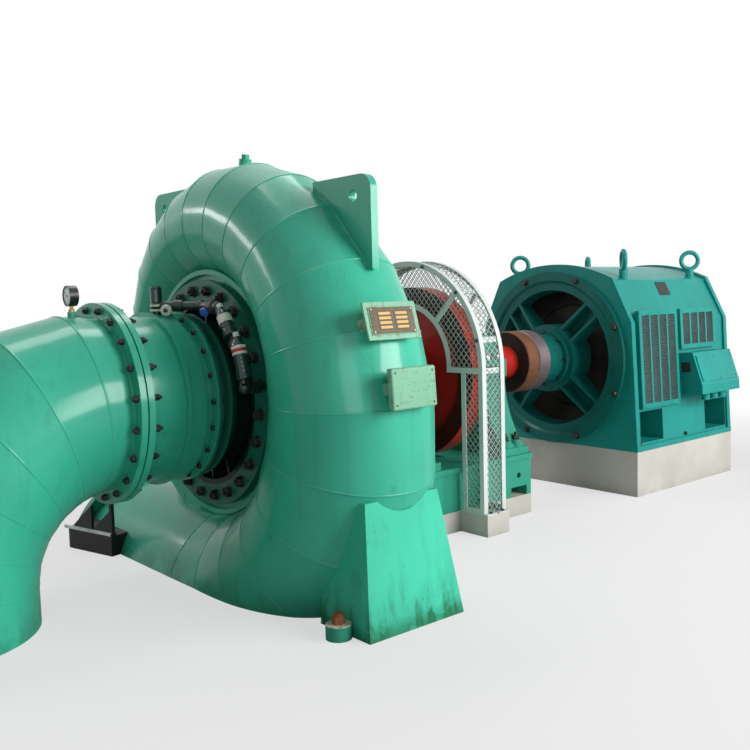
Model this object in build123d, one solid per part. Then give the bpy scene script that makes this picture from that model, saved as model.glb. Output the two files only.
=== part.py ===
"""Horizontal spiral-case turbine and generator set, in millimetres.

Frame: origin on the floor straight below the middle of the spiral case,
X along the shaft towards the generator, Z up.
"""
import os
from functools import cache
from math import cos, hypot, radians, sin, sqrt

from build123d import *

# Shaft line and shared clearances
SHAFT_Z = 750.0
SHAFT_R = 75.0
RUN_GAP = 0.3
SEAT_GAP = 0.3
MOVE_GAP = 6.0
CUT_OVER = 1.0

# Spiral case: a mitred tube that narrows as it runs round its stay ring
STAY_RING_R = 516.0
STAY_RING_HALF = 113.0
TUBE_INLET_R = 377.0
TUBE_TAPER = 0.842
TUBE_TAIL_LIP = 9.0
GORE_DEG = 15.0
GORE_COUNT = 23
RING_LIP_W = 20.0
RING_LIP_H = 22.0
INLET_LENGTH = 860.0
INLET_FLANGE_LIP = 52.0
INLET_FLANGE_T = 40.0

# Saddle bench beside the inlet, with gussets and a post
SADDLE_BACK = 401.0
SADDLE_LENGTH = 340.0
SADDLE_REACH = 23.0
SADDLE_H = 92.0
SADDLE_SKEW = 14.75
SADDLE_ROUND = 50.0
SADDLE_BAR_W = 30.0
SADDLE_BAR_T = 12.0
GUSSET_COUNT = 2
GUSSET_W = 140.0
GUSSET_H = 112.0
GUSSET_T = 14.0
POST_W = 16.0
POST_H = 190.0

# Draft-side head cover
COVER_R = 474.0
COVER_T = 40.0
RECESS_R = 385.0
RECESS_DEEP = 73.0
COVER_WALL = 20.0
NECK_R = 300.0
NECK_L = 131.0
NECK_FLANGE_LIP = 46.0
NECK_FLANGE_T = 12.0
NECK_COLLAR_BACK = 48.0
NECK_COLLAR_LIP = 36.0
NECK_COLLAR_T = 14.0
COVER_RIBS = 16
COVER_RIB_T = 10.0

# Draft cone, flange pair and mitred elbow
CONE_R = 330.0
CONE_STEP = 8.0
CONE_STEP_L = 135.0
CONE_BARREL_L = 84.0
CONE_THROAT_IN = 24.0
CONE_L = 178.0
CONE_LIP = 9.0
CONE_LIP_T = 14.0
FLANGE_R = 390.0
FLANGE_T = 24.0
GASKET_T = 6.0
GASKET_IN = 20.0
ELBOW_R = 335.0
ELBOW_GROWTH = 45.0
ELBOW_STRAIGHT = 10.0
ELBOW_BEND_R = 650.0
MITRE_DEG = 15.0

# Pressure gauge on the elbow
GAUGE_BACK = 78.0
GAUGE_R = 39.0
GAUGE_T = 34.0
GAUGE_BEZEL = 4.0
GAUGE_DIAL_DEEP = 4.0
GAUGE_RISE = 83.0
GAUGE_BOSS_R = 16.0
GAUGE_BOSS_H = 22.0
GAUGE_STEM_R = 7.0

# Leg and anchor bosses
LEG_FOOT_HALF = 220.0
LEG_TOP_HALF = 168.0
LEG_OUT = 34.0
LEG_LEAN = 72.0
LEG_TOP_Z = 447.0
LEG_DEPTH = 270.0
BOSS_R = 45.0
BOSS_H = 50.0
BOSS_SIDE = 36.0
BOSS_BACK = 120.0
STUD_R = 17.0
STUD_H = 36.0

# Lifting lugs: square-cornered plates near the crown, placed in from the case's sides and top
LUG_T = 30.0
LUG_ROUND = 56.0
LUG_PLATE = 330.0
LUG_FRONT_IN = (146.0, 124.0)
LUG_REAR_IN = (119.0, 46.0)
LUG_HOLE_IN = (98.0, 72.0)
LUG_HOLE_R = 22.0

# Small fittings on the case
PLUG_DEG = 171.5
PLUG_R = 26.0
PLUG_H = 20.0
PLUG_HEAD_R = 18.0
PLUG_HEAD_H = 18.0
FITTING_ROOT = 60.0
PLATE_DEG = 106.0
PLATE_X = -30.0
PLATE_W = 232.0
PLATE_H = 130.0
PLATE_T = 8.0
PLATE_STAND = 30.0
PLATE_FACE_IN = 16.0
PLATE_FACE_T = 3.0
HATCH_DEG = 94.0
HATCH_X = -2.0
HATCH_W = 202.0
HATCH_H = 140.0
HATCH_T = 22.0
HATCH_STAND = 30.0
HATCH_ROUND = 8.0
STANDOFF_W = 40.0

# Seal-water pipe from the cone round to the cover
SEAL_R = 18.0
SEAL_UNION_R = 24.0
SEAL_UNION_L = 34.0
SEAL_STAND_Y = -28.0
SEAL_STAND_H = 112.0
SEAL_TEE_H = 36.0
SEAL_OUT = 87.0
SEAL_IN = 16.0
SEAL_START_DEG = 113.0
SEAL_START_GAP = 52.0
SEAL_DEG = (128.0, 144.0, 160.0, 173.0)

# Turbine cover on the drive side
DRIVE_COVER_T = 50.0
GLAND_R = 190.0
GLAND_CONE_R = 300.0
GLAND_L = 150.0
GLAND_NOSE_L = 20.0
GLAND_RIBS = 8
GLAND_RIB_T = 14.0
SHAFT_BLIND = 27.0

# Flywheel and the guard of angle iron and mesh round it
FLYWHEEL_X = 1030.0
FLYWHEEL_T = 92.0
FLYWHEEL_R = 425.0
FLYWHEEL_RIM = 92.0
FLYWHEEL_WEB_T = 44.0
FLYWHEEL_HUB_R = 140.0
WELL_GAP = 25.0
GUARD_SIDE_GAP = 30.0
GUARD_CLEAR = 90.0
GUARD_ARCH_Z = 790.0
GUARD_ARCH_IN = 94.0
GUARD_BASE_GAP = 3.0
GUARD_ANGLE = 26.0
GUARD_ANGLE_T = 5.0
GUARD_BAR_DEG = (45.0, 135.0)
GUARD_TIES = 6
GUARD_FOOT_W = 20.0
GUARD_FOOT_L = 70.0
GUARD_FOOT_T = 8.0
MESH_T = 2.0

# Bearing pedestals, their base and its plinth
PEDESTAL_W = 160.0
TURBINE_PEDESTAL_GAP = 135.0
GENERATOR_PEDESTAL_GAP = 183.0
PEDESTAL_FOOT_HALF = 354.0
PEDESTAL_FOOT_T = 36.0
PEDESTAL_FOOT_OUT = 16.0
PEDESTAL_WAIST = 215.0
BEARING_R = 182.0
BEARING_OUT = 12.0
BEARING_EAR = 46.0
BEARING_EAR_T = 44.0
OIL_CUP_R = 20.0
OIL_CUP_H = 40.0
BASE_TURBINE_END = 105.0
BASE_GENERATOR_END = 25.0
BASE_HALF = 362.0
BASE_H = 214.0
BASE_LIP_T = 24.0
BASE_LIP_OUT = 14.0
BASE_SLOT_W = 120.0
BASE_SLOT_H = 50.0
BASE_SLOT_IN = 34.0
BASE_SLOT_DEEP = 90.0
BASE_HOLE_R = 14.0
BASE_HOLE_H = 108.0
PLINTH_Z = 100.0

# Pin coupling
COUPLING_X = 1750.0
COUPLING_T = 90.0
COUPLING_GAP = 5.0
COUPLING_R = 171.0
COUPLING_EDGE = 5.0
SLEEVE_R = 90.0
PIN_COUNT = 8
PIN_R = 14.0
PIN_CIRCLE_R = 130.0
PIN_INSET = 15.0

# Generator frame
GEN_LENGTH = 1010.0
GEN_BASE_Z = 247.0
GEN_FOOT_HALF = 570.0
GEN_SIDE_LEAN = 39.0
GEN_SIDE_H = 708.0
GEN_SHOULDER_IN = 123.0
GEN_SHOULDER_H = 247.0
GEN_ROOF_H = 90.0
GEN_PLATE_T = 34.0
GEN_PLATE_LIP = 12.0
GEN_FOOT_T = 30.0
GEN_BORE_R = 450.0
POCKET_END = 42.0
POCKET_W = 236.0
POCKET_LOW = 44.0
POCKET_H = 172.0
POCKET_DEEP = 160.0

# Stator core, and the spoked end brackets with their hubs
CORE_END = 190.0
CORE_IN_R = 305.0
BRACKET_LIP = 50.0
BRACKET_T = 28.0
BRACKET_STEP = 14.0
BRACKET_RIM = 70.0
BRACKET_DISH = 72.0
BRACKET_SEAT = 2.0
SPOKE_COUNT = 4
SPOKE_W = 112.0
SPOKE_WEB_T = 14.0
SPOKE_WEB_DEEP = 30.0
SPOKE_RIB_W = 16.0
HUB_R = 195.0
HUB_FACE = 65.0
HUB_CAP_R = 165.0
HUB_CAP_T = 22.0
HUB_NOSE_R = 140.0
HUB_BACK = 100.0
FRONT_NOSE_L = 147.0
REAR_NOSE_L = 30.0
HUB_CLEAR = 23.0
REAR_CAP_T = 60.0
REAR_CAP_EDGE = 12.0

# Lifting eyes, air grilles and terminal box of the generator
EYE_END = 156.0
EYE_Y = 376.0
EYE_R = 50.0
EYE_BAR_R = 13.0
EYE_NECK_R = 24.0
EYE_NECK_H = 40.0
EYE_YAW = 45.0
GRILLE_IN = 52.0
GRILLE_W = 382.0
GRILLE_LOW = 233.0
GRILLE_H = 538.0
SHORT_GRILLE_H = 232.0
GRILLE_GAP = 34.0
GRILLE_T = 26.0
GRILLE_FRAME = 26.0
GRILLE_BAR = 14.0
GRILLE_BAYS = 4
GRILLE_BACK = 6.0
SLAT_PITCH = 16.0
SLAT_T = 3.0
SLAT_TILT = 35.0
BOX_L = 420.0
BOX_LOW = 278.0
BOX_H = 238.0
BOX_KNEE_H = 52.0
BOX_OUT = 144.0
BOX_TOP_OUT = 92.0
BOX_LID_T = 6.0
BOX_LID_IN = 18.0
CABLE_GLANDS = 3
CABLE_GLAND_R = 24.0
CABLE_GLAND_L = 40.0
CABLE_GLAND_PITCH = 90.0

# Sizes that follow from the ones above, from the case outwards
TUBE_TAIL_R = STAY_RING_HALF + TUBE_TAIL_LIP
INLET_Z = SHAFT_Z - STAY_RING_R - sqrt(TUBE_INLET_R ** 2 - STAY_RING_HALF ** 2)
COVER_FACE_X = -STAY_RING_HALF - COVER_T
RECESS_FLOOR_X = -STAY_RING_HALF + RECESS_DEEP
NECK_FLANGE_X = COVER_FACE_X - NECK_L
NECK_FLANGE_R = NECK_R + NECK_FLANGE_LIP
CONE_STEP_X = NECK_FLANGE_X - CONE_STEP_L
CONE_BARREL_X = CONE_STEP_X + CONE_BARREL_L
CONE_FLANGE_X = CONE_STEP_X - CONE_L
ELBOW_FLANGE_X = CONE_FLANGE_X - GASKET_T
ELBOW_X = ELBOW_FLANGE_X - FLANGE_T
GAUGE_X = ELBOW_X - GAUGE_BACK
GAUGE_Z = SHAFT_Z + ELBOW_R + GAUGE_RISE
GLAND_X = STAY_RING_HALF + DRIVE_COVER_T
SHAFT_START_X = GLAND_X + SHAFT_BLIND
GUARD_X = FLYWHEEL_X - GUARD_SIDE_GAP
GUARD_W = FLYWHEEL_T + 2 * GUARD_SIDE_GAP
GUARD_END_X = GUARD_X + GUARD_W
GUARD_R = FLYWHEEL_R + GUARD_CLEAR
GUARD_LEG_IN = BASE_HALF + BASE_LIP_OUT + GUARD_BASE_GAP
GUARD_INNER_R = GUARD_LEG_IN - GUARD_ARCH_IN
MESH_R = GUARD_R - GUARD_ANGLE_T - SEAT_GAP
MESH_X = GUARD_ANGLE_T + MESH_T
TURBINE_PEDESTAL_X = GUARD_X - TURBINE_PEDESTAL_GAP - PEDESTAL_W
GENERATOR_PEDESTAL_X = GUARD_END_X + GENERATOR_PEDESTAL_GAP
BASE_X = TURBINE_PEDESTAL_X - BASE_TURBINE_END
BASE_END_X = GENERATOR_PEDESTAL_X + PEDESTAL_W + BASE_GENERATOR_END
BASE_TOP_Z = PLINTH_Z + BASE_H
SLEEVE_X = GENERATOR_PEDESTAL_X + PEDESTAL_W + BEARING_OUT + MOVE_GAP
GEN_COUPLING_X = COUPLING_X + COUPLING_T + COUPLING_GAP
GEN_X = GEN_COUPLING_X + COUPLING_T + HUB_CLEAR + FRONT_NOSE_L + HUB_FACE
GEN_END_X = GEN_X + GEN_LENGTH
GEN_SIDE_HALF = GEN_FOOT_HALF - GEN_SIDE_LEAN
GEN_SIDE_Z = GEN_BASE_Z + GEN_SIDE_H
GEN_SHOULDER_HALF = GEN_SIDE_HALF - GEN_SHOULDER_IN
GEN_SHOULDER_Z = GEN_SIDE_Z + GEN_SHOULDER_H
GEN_TOP_Z = GEN_SHOULDER_Z + GEN_ROOF_H
BRACKET_R = GEN_BORE_R + BRACKET_LIP
BRACKET_IN_R = GEN_BORE_R - BRACKET_RIM
REAR_HUB_X = GEN_END_X + HUB_FACE + REAR_NOSE_L
GRILLE_X = GEN_X + GRILLE_IN
SIDE_X = GRILLE_X + GRILLE_W + GRILLE_GAP

CENTRE = Align.CENTER
LOW = Align.MIN
HIGH = Align.MAX
SHAFT_AXIS = Axis((0, 0, SHAFT_Z), (1, 0, 0))


def bar_x(radius, x0, x1, y=0.0, z=SHAFT_Z):
    """Round bar along the shaft direction."""
    return Pos(x0, y, z) * Rot(0, 90, 0) * Cylinder(radius, x1 - x0, align=(CENTRE, CENTRE, LOW))


def turned(*points):
    """Piece turned about the shaft line from (x, radius) points."""
    profile = make_face(Polyline(*[(x, 0, SHAFT_Z + r) for x, r in points], close=True))
    return revolve(profile, SHAFT_AXIS)


def block(x0, x1, y0, y1, z0, z1):
    """Box between two corners."""
    return Pos(x0, y0, z0) * Box(x1 - x0, y1 - y0, z1 - z0, align=(LOW, LOW, LOW))


def rod(start, end, radius):
    """Round rod between two points."""
    path = Vector(*end) - Vector(*start)
    solid = Cylinder(radius, path.length, align=(CENTRE, CENTRE, LOW))
    return Plane(origin=start, z_dir=path).location * solid


def across(x):
    """Plane across the shaft, with Y to the right and Z up."""
    return Plane(origin=(x, 0, 0), x_dir=(0, 1, 0), z_dir=(1, 0, 0))


def about_shaft(angle, piece):
    """A piece built outwards along Y, turned about the shaft line."""
    return Pos(0, 0, SHAFT_Z) * Rot(angle, 0, 0) * piece


def biggest(shape):
    """Largest solid left after a cut."""
    return sorted(shape.solids(), key=lambda solid: solid.volume)[-1]


def above_floor(solid):
    """Keep what stands above the floor."""
    low = solid.bounding_box().min - Vector(CUT_OVER, CUT_OVER, CUT_OVER)
    high = solid.bounding_box().max + Vector(CUT_OVER, CUT_OVER, CUT_OVER)
    return solid - block(low.X, high.X, low.Y, high.Y, low.Z, 0)


def around(count, start=0.0):
    """Evenly spaced angles round a full turn."""
    return [start + 360.0 * i / count for i in range(count)]


def tube_r(angle):
    """Radius of the spiral tube, which narrows from the inlet to the tail."""
    return max(TUBE_INLET_R - TUBE_TAPER * angle, TUBE_TAIL_R)


def tube_centre_r(angle):
    """Distance of the tube's centre from the shaft: the tube sits on the edges of the stay ring."""
    return STAY_RING_R + sqrt(tube_r(angle) ** 2 - STAY_RING_HALF ** 2)


def tube_outer_r(angle):
    """Distance of the tube's outside from the shaft."""
    return tube_centre_r(angle) + tube_r(angle)


def case_plane(angle, radius, x=0.0):
    """Plane that faces away from the shaft; the angle counts from the bottom to the leg side."""
    turn = radians(angle)
    out = (0, -sin(turn), -cos(turn))
    return Plane(origin=(x, radius * out[1], SHAFT_Z + radius * out[2]), x_dir=(1, 0, 0), z_dir=out)


def tube_section(angle, extra):
    """Round section of the tube at one mitre seam."""
    turn = radians(angle)
    middle = case_plane(angle, tube_centre_r(angle)).origin
    seam = Plane(origin=middle, x_dir=(1, 0, 0), z_dir=(0, -cos(turn), sin(turn)))
    return seam * Circle(tube_r(angle) + extra)


def along_inlet(radius, start, length):
    """Round piece along the inlet."""
    solid = Cylinder(radius, length, align=(CENTRE, CENTRE, LOW))
    return Pos(0, start, INLET_Z) * Rot(-90, 0, 0) * solid


def spiral_tube(extra=0.0):
    """Mitred tube of straight gores, with its inlet."""
    sections = [tube_section(i * GORE_DEG, extra) for i in range(GORE_COUNT + 1)]
    return loft(sections, ruled=True) + along_inlet(TUBE_INLET_R + extra, 0, INLET_LENGTH)


@cache
def tube_space():
    """Room that the tube takes, with the seat gap round it."""
    return spiral_tube(SEAT_GAP)


def cut_to_tube(shape):
    """Part of a piece that stands outside the tube."""
    return biggest(shape - tube_space())


def spiral_case():
    """Spiral tube on its stay ring, with a raised lip and the recess of the head cover."""
    lip_x = -STAY_RING_HALF - RING_LIP_H
    lip_r = STAY_RING_R - RING_LIP_W
    ring = turned((-STAY_RING_HALF, 0), (-STAY_RING_HALF, lip_r), (lip_x, lip_r), (lip_x, STAY_RING_R),
                  (STAY_RING_HALF, STAY_RING_R), (STAY_RING_HALF, 0))
    recess = bar_x(RECESS_R, -STAY_RING_HALF, RECESS_FLOOR_X)
    return above_floor(spiral_tube() + ring - recess)


def inlet_flange():
    """Flange round the end of the inlet, cut at the floor."""
    return above_floor(along_inlet(TUBE_INLET_R + INLET_FLANGE_LIP, INLET_LENGTH, INLET_FLANGE_T))


def inlet_saddle():
    """Bench beside the inlet, with an edge bar that carries a post and gussets."""
    wide = TUBE_INLET_R + SADDLE_REACH
    plan = Rectangle(wide, SADDLE_LENGTH, align=(LOW, LOW))
    plan = fillet(plan.vertices().sort_by(Axis.X)[:2].sort_by(Axis.Y)[-1], SADDLE_ROUND)
    bench = extrude(plan, amount=SADDLE_H)
    straight = SADDLE_LENGTH - SADDLE_ROUND
    bench += Pos(0, 0, SADDLE_H) * Box(SADDLE_BAR_W, straight, SADDLE_BAR_T, align=(LOW, LOW, LOW))
    seat = SADDLE_H + SADDLE_BAR_T
    middle = SADDLE_BAR_W / 2
    bench += Pos(middle, 0, seat) * Box(POST_W, POST_W, POST_H, align=(CENTRE, LOW, LOW))
    tip = (middle, 0, seat + GUSSET_H)
    side = make_face(Polyline((middle, 0, seat), (middle, GUSSET_W, seat), tip, close=True))
    gusset = extrude(side, amount=GUSSET_T / 2, both=True)
    for i in range(GUSSET_COUNT):
        bench += Pos(0, straight * i / GUSSET_COUNT, 0) * gusset
    start = INLET_LENGTH - SADDLE_BACK
    bench = Pos(-wide, start, 0) * Rot(0, 0, SADDLE_SKEW) * bench
    inlet_space = along_inlet(TUBE_INLET_R + SEAT_GAP, start, INLET_LENGTH)
    return cut_to_tube(bench - inlet_space)


def head_cover_ring():
    """Draft-side head cover: bolting ring, sunk ribbed web, and neck with a collar and a flange."""
    web_x = RECESS_FLOOR_X - COVER_WALL
    seat_r = RECESS_R - SEAT_GAP
    wall_r = RECESS_R - COVER_WALL
    flange_x = NECK_FLANGE_X + NECK_FLANGE_T
    collar_x = NECK_FLANGE_X + NECK_COLLAR_BACK
    collar_end = collar_x + NECK_COLLAR_T
    collar_r = NECK_R + NECK_COLLAR_LIP
    cover = turned((RECESS_FLOOR_X, 0), (RECESS_FLOOR_X, seat_r), (-STAY_RING_HALF, seat_r),
                   (-STAY_RING_HALF, COVER_R), (COVER_FACE_X, COVER_R), (COVER_FACE_X, wall_r),
                   (web_x, wall_r), (web_x, NECK_R), (collar_end, NECK_R), (collar_end, collar_r),
                   (collar_x, collar_r), (collar_x, NECK_R), (flange_x, NECK_R),
                   (flange_x, NECK_FLANGE_R), (NECK_FLANGE_X, NECK_FLANGE_R), (NECK_FLANGE_X, 0))
    rib = block(COVER_FACE_X + COVER_WALL, web_x, NECK_R - COVER_WALL, seat_r - COVER_WALL / 2,
                -COVER_RIB_T / 2, COVER_RIB_T / 2)
    for angle in around(COVER_RIBS):
        cover += about_shaft(angle, rib)
    return cover


@cache
def draft_cone():
    """Stepped draft cone with a narrow throat and a flange at each end."""
    flange_x = CONE_FLANGE_X + FLANGE_T
    step_r = CONE_R + CONE_STEP
    lip_x = CONE_STEP_X + CONE_LIP_T
    lip_r = step_r + CONE_LIP
    neck_x = NECK_FLANGE_X - NECK_FLANGE_T
    throat_r = CONE_R - CONE_THROAT_IN
    return turned((CONE_FLANGE_X, 0), (CONE_FLANGE_X, FLANGE_R), (flange_x, FLANGE_R), (flange_x, CONE_R),
                  (CONE_STEP_X, CONE_R), (CONE_STEP_X, lip_r), (lip_x, lip_r), (lip_x, step_r),
                  (CONE_BARREL_X, step_r), (CONE_BARREL_X, throat_r), (neck_x, throat_r),
                  (neck_x, NECK_FLANGE_R), (NECK_FLANGE_X, NECK_FLANGE_R), (NECK_FLANGE_X, 0))


def flange_gasket():
    """Dark joint between the two flanges."""
    return bar_x(FLANGE_R - GASKET_IN, ELBOW_FLANGE_X, CONE_FLANGE_X)


def elbow_flange():
    """Flange on the elbow's end."""
    return bar_x(FLANGE_R, ELBOW_X, ELBOW_FLANGE_X)


@cache
def draft_elbow():
    """Mitred elbow that widens as it turns the draft tube down to the floor."""
    bend_x = ELBOW_X - ELBOW_STRAIGHT
    bend_z = SHAFT_Z - ELBOW_BEND_R
    stretch = 1 / cos(radians(MITRE_DEG / 2))
    reach = ELBOW_BEND_R * stretch
    count = round(90 / MITRE_DEG)
    start = Plane(origin=(ELBOW_X, 0, SHAFT_Z), x_dir=(0, 1, 0), z_dir=(-1, 0, 0))
    sections = [start * Circle(ELBOW_R)]
    for i in range(count):
        turn = radians(MITRE_DEG * (i + 0.5))
        radius = ELBOW_R + ELBOW_GROWTH * (i + 1) / count
        corner = (bend_x - reach * sin(turn), 0, bend_z + reach * cos(turn))
        seam = Plane(origin=corner, x_dir=(0, 1, 0), z_dir=(-cos(turn), 0, -sin(turn)))
        sections.append(seam * Ellipse(radius, radius * stretch))
    foot = Plane(origin=(bend_x - ELBOW_BEND_R, 0, 0), x_dir=(0, 1, 0), z_dir=(0, 0, -1))
    sections.append(foot * Circle(ELBOW_R + ELBOW_GROWTH))
    return loft(sections, ruled=True)


def pressure_gauge():
    """Round gauge with a sunk dial that faces away from the generator."""
    face = GAUGE_X - GAUGE_T / 2
    case = bar_x(GAUGE_R, face, face + GAUGE_T, 0.0, GAUGE_Z)
    return case - bar_x(GAUGE_R - GAUGE_BEZEL, face, face + GAUGE_DIAL_DEEP, 0.0, GAUGE_Z)


def gauge_stem():
    """Boss and stem that carry the gauge on the elbow."""
    crown = SHAFT_Z + ELBOW_R
    inside = (GAUGE_X, 0, crown - GAUGE_BOSS_H)
    stem = rod(inside, (GAUGE_X, 0, crown + GAUGE_BOSS_H), GAUGE_BOSS_R)
    stem += rod(inside, (GAUGE_X, 0, GAUGE_Z), GAUGE_STEM_R)
    stem -= draft_elbow()
    return stem - bar_x(GAUGE_R, GAUGE_X - GAUGE_T, GAUGE_X + GAUGE_T, 0.0, GAUGE_Z)


def leg_front_y():
    """Front of the leg's foot, a little outside the case."""
    return -tube_outer_r(90) - LEG_OUT


@cache
def leg():
    """Tapered leg that carries the case on a saddle."""
    foot = Rectangle(2 * LEG_FOOT_HALF, LEG_DEPTH, align=(CENTRE, LOW))
    top = Rectangle(2 * LEG_TOP_HALF, LEG_DEPTH - LEG_LEAN, align=(CENTRE, LOW))
    sections = [Pos(0, leg_front_y(), 0) * foot, Pos(0, leg_front_y() + LEG_LEAN, LEG_TOP_Z) * top]
    return cut_to_tube(loft(sections, ruled=True))


def anchor_bosses():
    """Round anchor bosses with their stud ends, one on each side of the leg."""
    pieces = []
    for side in (-1, 1):
        place = Pos(side * (LEG_FOOT_HALF + BOSS_SIDE), leg_front_y() + BOSS_BACK, 0)
        boss = Cylinder(BOSS_R, BOSS_H, align=(CENTRE, CENTRE, LOW))
        stud = Pos(0, 0, BOSS_H) * Cylinder(STUD_R, STUD_H, align=(CENTRE, CENTRE, LOW))
        pieces.append(biggest(place * (boss + stud) - leg()))
    return Compound(pieces)


def lifting_lug(out, side_r, inset):
    """Square-cornered lifting plate with a rounded tip and an eye, cut to the tube."""
    plate = Rectangle(LUG_PLATE, LUG_PLATE, align=(HIGH if out > 0 else LOW, HIGH))
    plate = fillet(plate.vertices().sort_by_distance((0, 0, 0))[0], LUG_ROUND)
    plate -= Pos(-out * LUG_HOLE_IN[0], -LUG_HOLE_IN[1]) * Circle(LUG_HOLE_R)
    corner = Pos(out * (side_r - inset[0]), SHAFT_Z + tube_outer_r(180) - inset[1])
    return cut_to_tube(extrude(across(0) * corner * plate, amount=LUG_T / 2, both=True))


def crown_plug():
    """Vent plug with a six-sided head on the crown of the case."""
    seat = case_plane(PLUG_DEG, tube_outer_r(PLUG_DEG) + PLUG_H)
    plug = Cylinder(PLUG_R, FITTING_ROOT, align=(CENTRE, CENTRE, HIGH))
    head = extrude(RegularPolygon(PLUG_HEAD_R, 6), amount=PLUG_HEAD_H)
    return cut_to_tube(seat.location * (plug + head))


def on_case(angle, x, stand, plate):
    """A plate held off the tube on a standoff block."""
    place = case_plane(angle, tube_outer_r(angle) + stand, x).location
    wide = plate.bounding_box().size.X - STANDOFF_W
    standoff = Box(wide, STANDOFF_W, stand + FITTING_ROOT, align=(CENTRE, CENTRE, HIGH))
    return place * plate + cut_to_tube(place * standoff)


def rating_plate():
    """Rating plate: a backing plate with a raised blank face."""
    plate = Box(PLATE_W, PLATE_H, PLATE_T, align=(CENTRE, CENTRE, LOW))
    rim = 2 * PLATE_FACE_IN
    face = Box(PLATE_W - rim, PLATE_H - rim, PLATE_FACE_T, align=(CENTRE, CENTRE, LOW))
    return on_case(PLATE_DEG, PLATE_X, PLATE_STAND, plate + Pos(0, 0, PLATE_T) * face)


def side_hatch():
    """Shallow box-shaped hatch on the side of the case."""
    lid = Box(HATCH_W, HATCH_H, HATCH_T, align=(CENTRE, CENTRE, LOW))
    lid = fillet(lid.edges().filter_by(Axis.Z) + lid.faces().sort_by(Axis.Z)[-1].edges(), HATCH_ROUND)
    return on_case(HATCH_DEG, HATCH_X, HATCH_STAND, lid)


def seal_pipe():
    """Seal-water pipe: a stand pipe on the cone, and a run of unions round to the cover."""
    stand_x = (CONE_STEP_X + CONE_LIP_T + CONE_BARREL_X) / 2
    foot = SHAFT_Z + sqrt((CONE_R + CONE_STEP) ** 2 - SEAL_STAND_Y ** 2)
    pipe = rod((stand_x, SEAL_STAND_Y, foot - SEAL_R), (stand_x, SEAL_STAND_Y, foot + SEAL_STAND_H), SEAL_R)
    points = [(stand_x, SEAL_STAND_Y, foot + SEAL_TEE_H)]
    turns = [(SEAL_START_DEG, NECK_FLANGE_R + SEAL_START_GAP)]
    turns += [(angle, COVER_R - SEAL_IN) for angle in SEAL_DEG]
    for angle, radius in turns:
        y = radius * cos(radians(angle))
        points.append((COVER_FACE_X - SEAL_OUT, y, SHAFT_Z + radius * sin(radians(angle))))
    points.append((COVER_FACE_X, *points[-1][1:]))
    for start, end in zip(points[:-1], points[1:]):
        path = Vector(*end) - Vector(*start)
        middle = Vector(*start) + path / 2
        half = path.normalized() * (SEAL_UNION_L / 2)
        pipe += rod(start, end, SEAL_R) + Pos(*start) * Sphere(SEAL_UNION_R)
        pipe += rod(tuple(middle - half), tuple(middle + half), SEAL_UNION_R)
    return biggest(pipe - draft_cone())


def drive_cover():
    """Turbine cover on the drive side: bolting ring, coned gland housing and ribs."""
    nose_x = GLAND_X + GLAND_L
    cone_end = (nose_x - GLAND_NOSE_L, GLAND_R)
    cover = turned((STAY_RING_HALF, 0), (STAY_RING_HALF, COVER_R), (GLAND_X, COVER_R),
                   (GLAND_X, GLAND_CONE_R), cone_end, (nose_x, GLAND_R), (nose_x, 0))
    side = make_face(Polyline((GLAND_X, GLAND_R), cone_end, (GLAND_X, RECESS_R), close=True))
    rib = extrude(side, amount=GLAND_RIB_T / 2, both=True)
    for angle in around(GLAND_RIBS, 180.0 / GLAND_RIBS):
        cover += about_shaft(angle, rib)
    return cover - bar_x(SHAFT_R + RUN_GAP, SHAFT_START_X - MOVE_GAP, nose_x)


def bearing_plinth():
    """Concrete plinth under the bearing base and the guard feet."""
    wide = GUARD_R + GUARD_FOOT_W
    plinth = block(BASE_X, BASE_END_X, -BASE_HALF, BASE_HALF, 0, PLINTH_Z)
    return plinth + block(GUARD_X, GUARD_END_X, -wide, wide, 0, PLINTH_Z)


def bearing_base():
    """Cast bearing base with a top lip, a flywheel well, hand slots at the foot and round holes."""
    base = block(BASE_X, BASE_END_X, -BASE_HALF, BASE_HALF, PLINTH_Z, BASE_TOP_Z)
    wide = BASE_HALF + BASE_LIP_OUT
    base += block(BASE_X, BASE_END_X, -wide, wide, BASE_TOP_Z - BASE_LIP_T, BASE_TOP_Z)
    hole_z = PLINTH_Z + BASE_HOLE_H
    for x in (BASE_X + BASE_SLOT_IN, BASE_END_X - BASE_SLOT_IN - BASE_SLOT_W):
        middle = x + BASE_SLOT_W / 2
        for side in (-1, 1):
            y0, y1 = sorted((side * BASE_HALF, side * (BASE_HALF - BASE_SLOT_DEEP)))
            base -= block(x, x + BASE_SLOT_W, y0, y1, PLINTH_Z, PLINTH_Z + BASE_SLOT_H)
            base -= rod((middle, y0, hole_z), (middle, y1, hole_z), BASE_HOLE_R)
    return base - bar_x(FLYWHEEL_R + WELL_GAP, FLYWHEEL_X - WELL_GAP, FLYWHEEL_X + FLYWHEEL_T + WELL_GAP)


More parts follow.
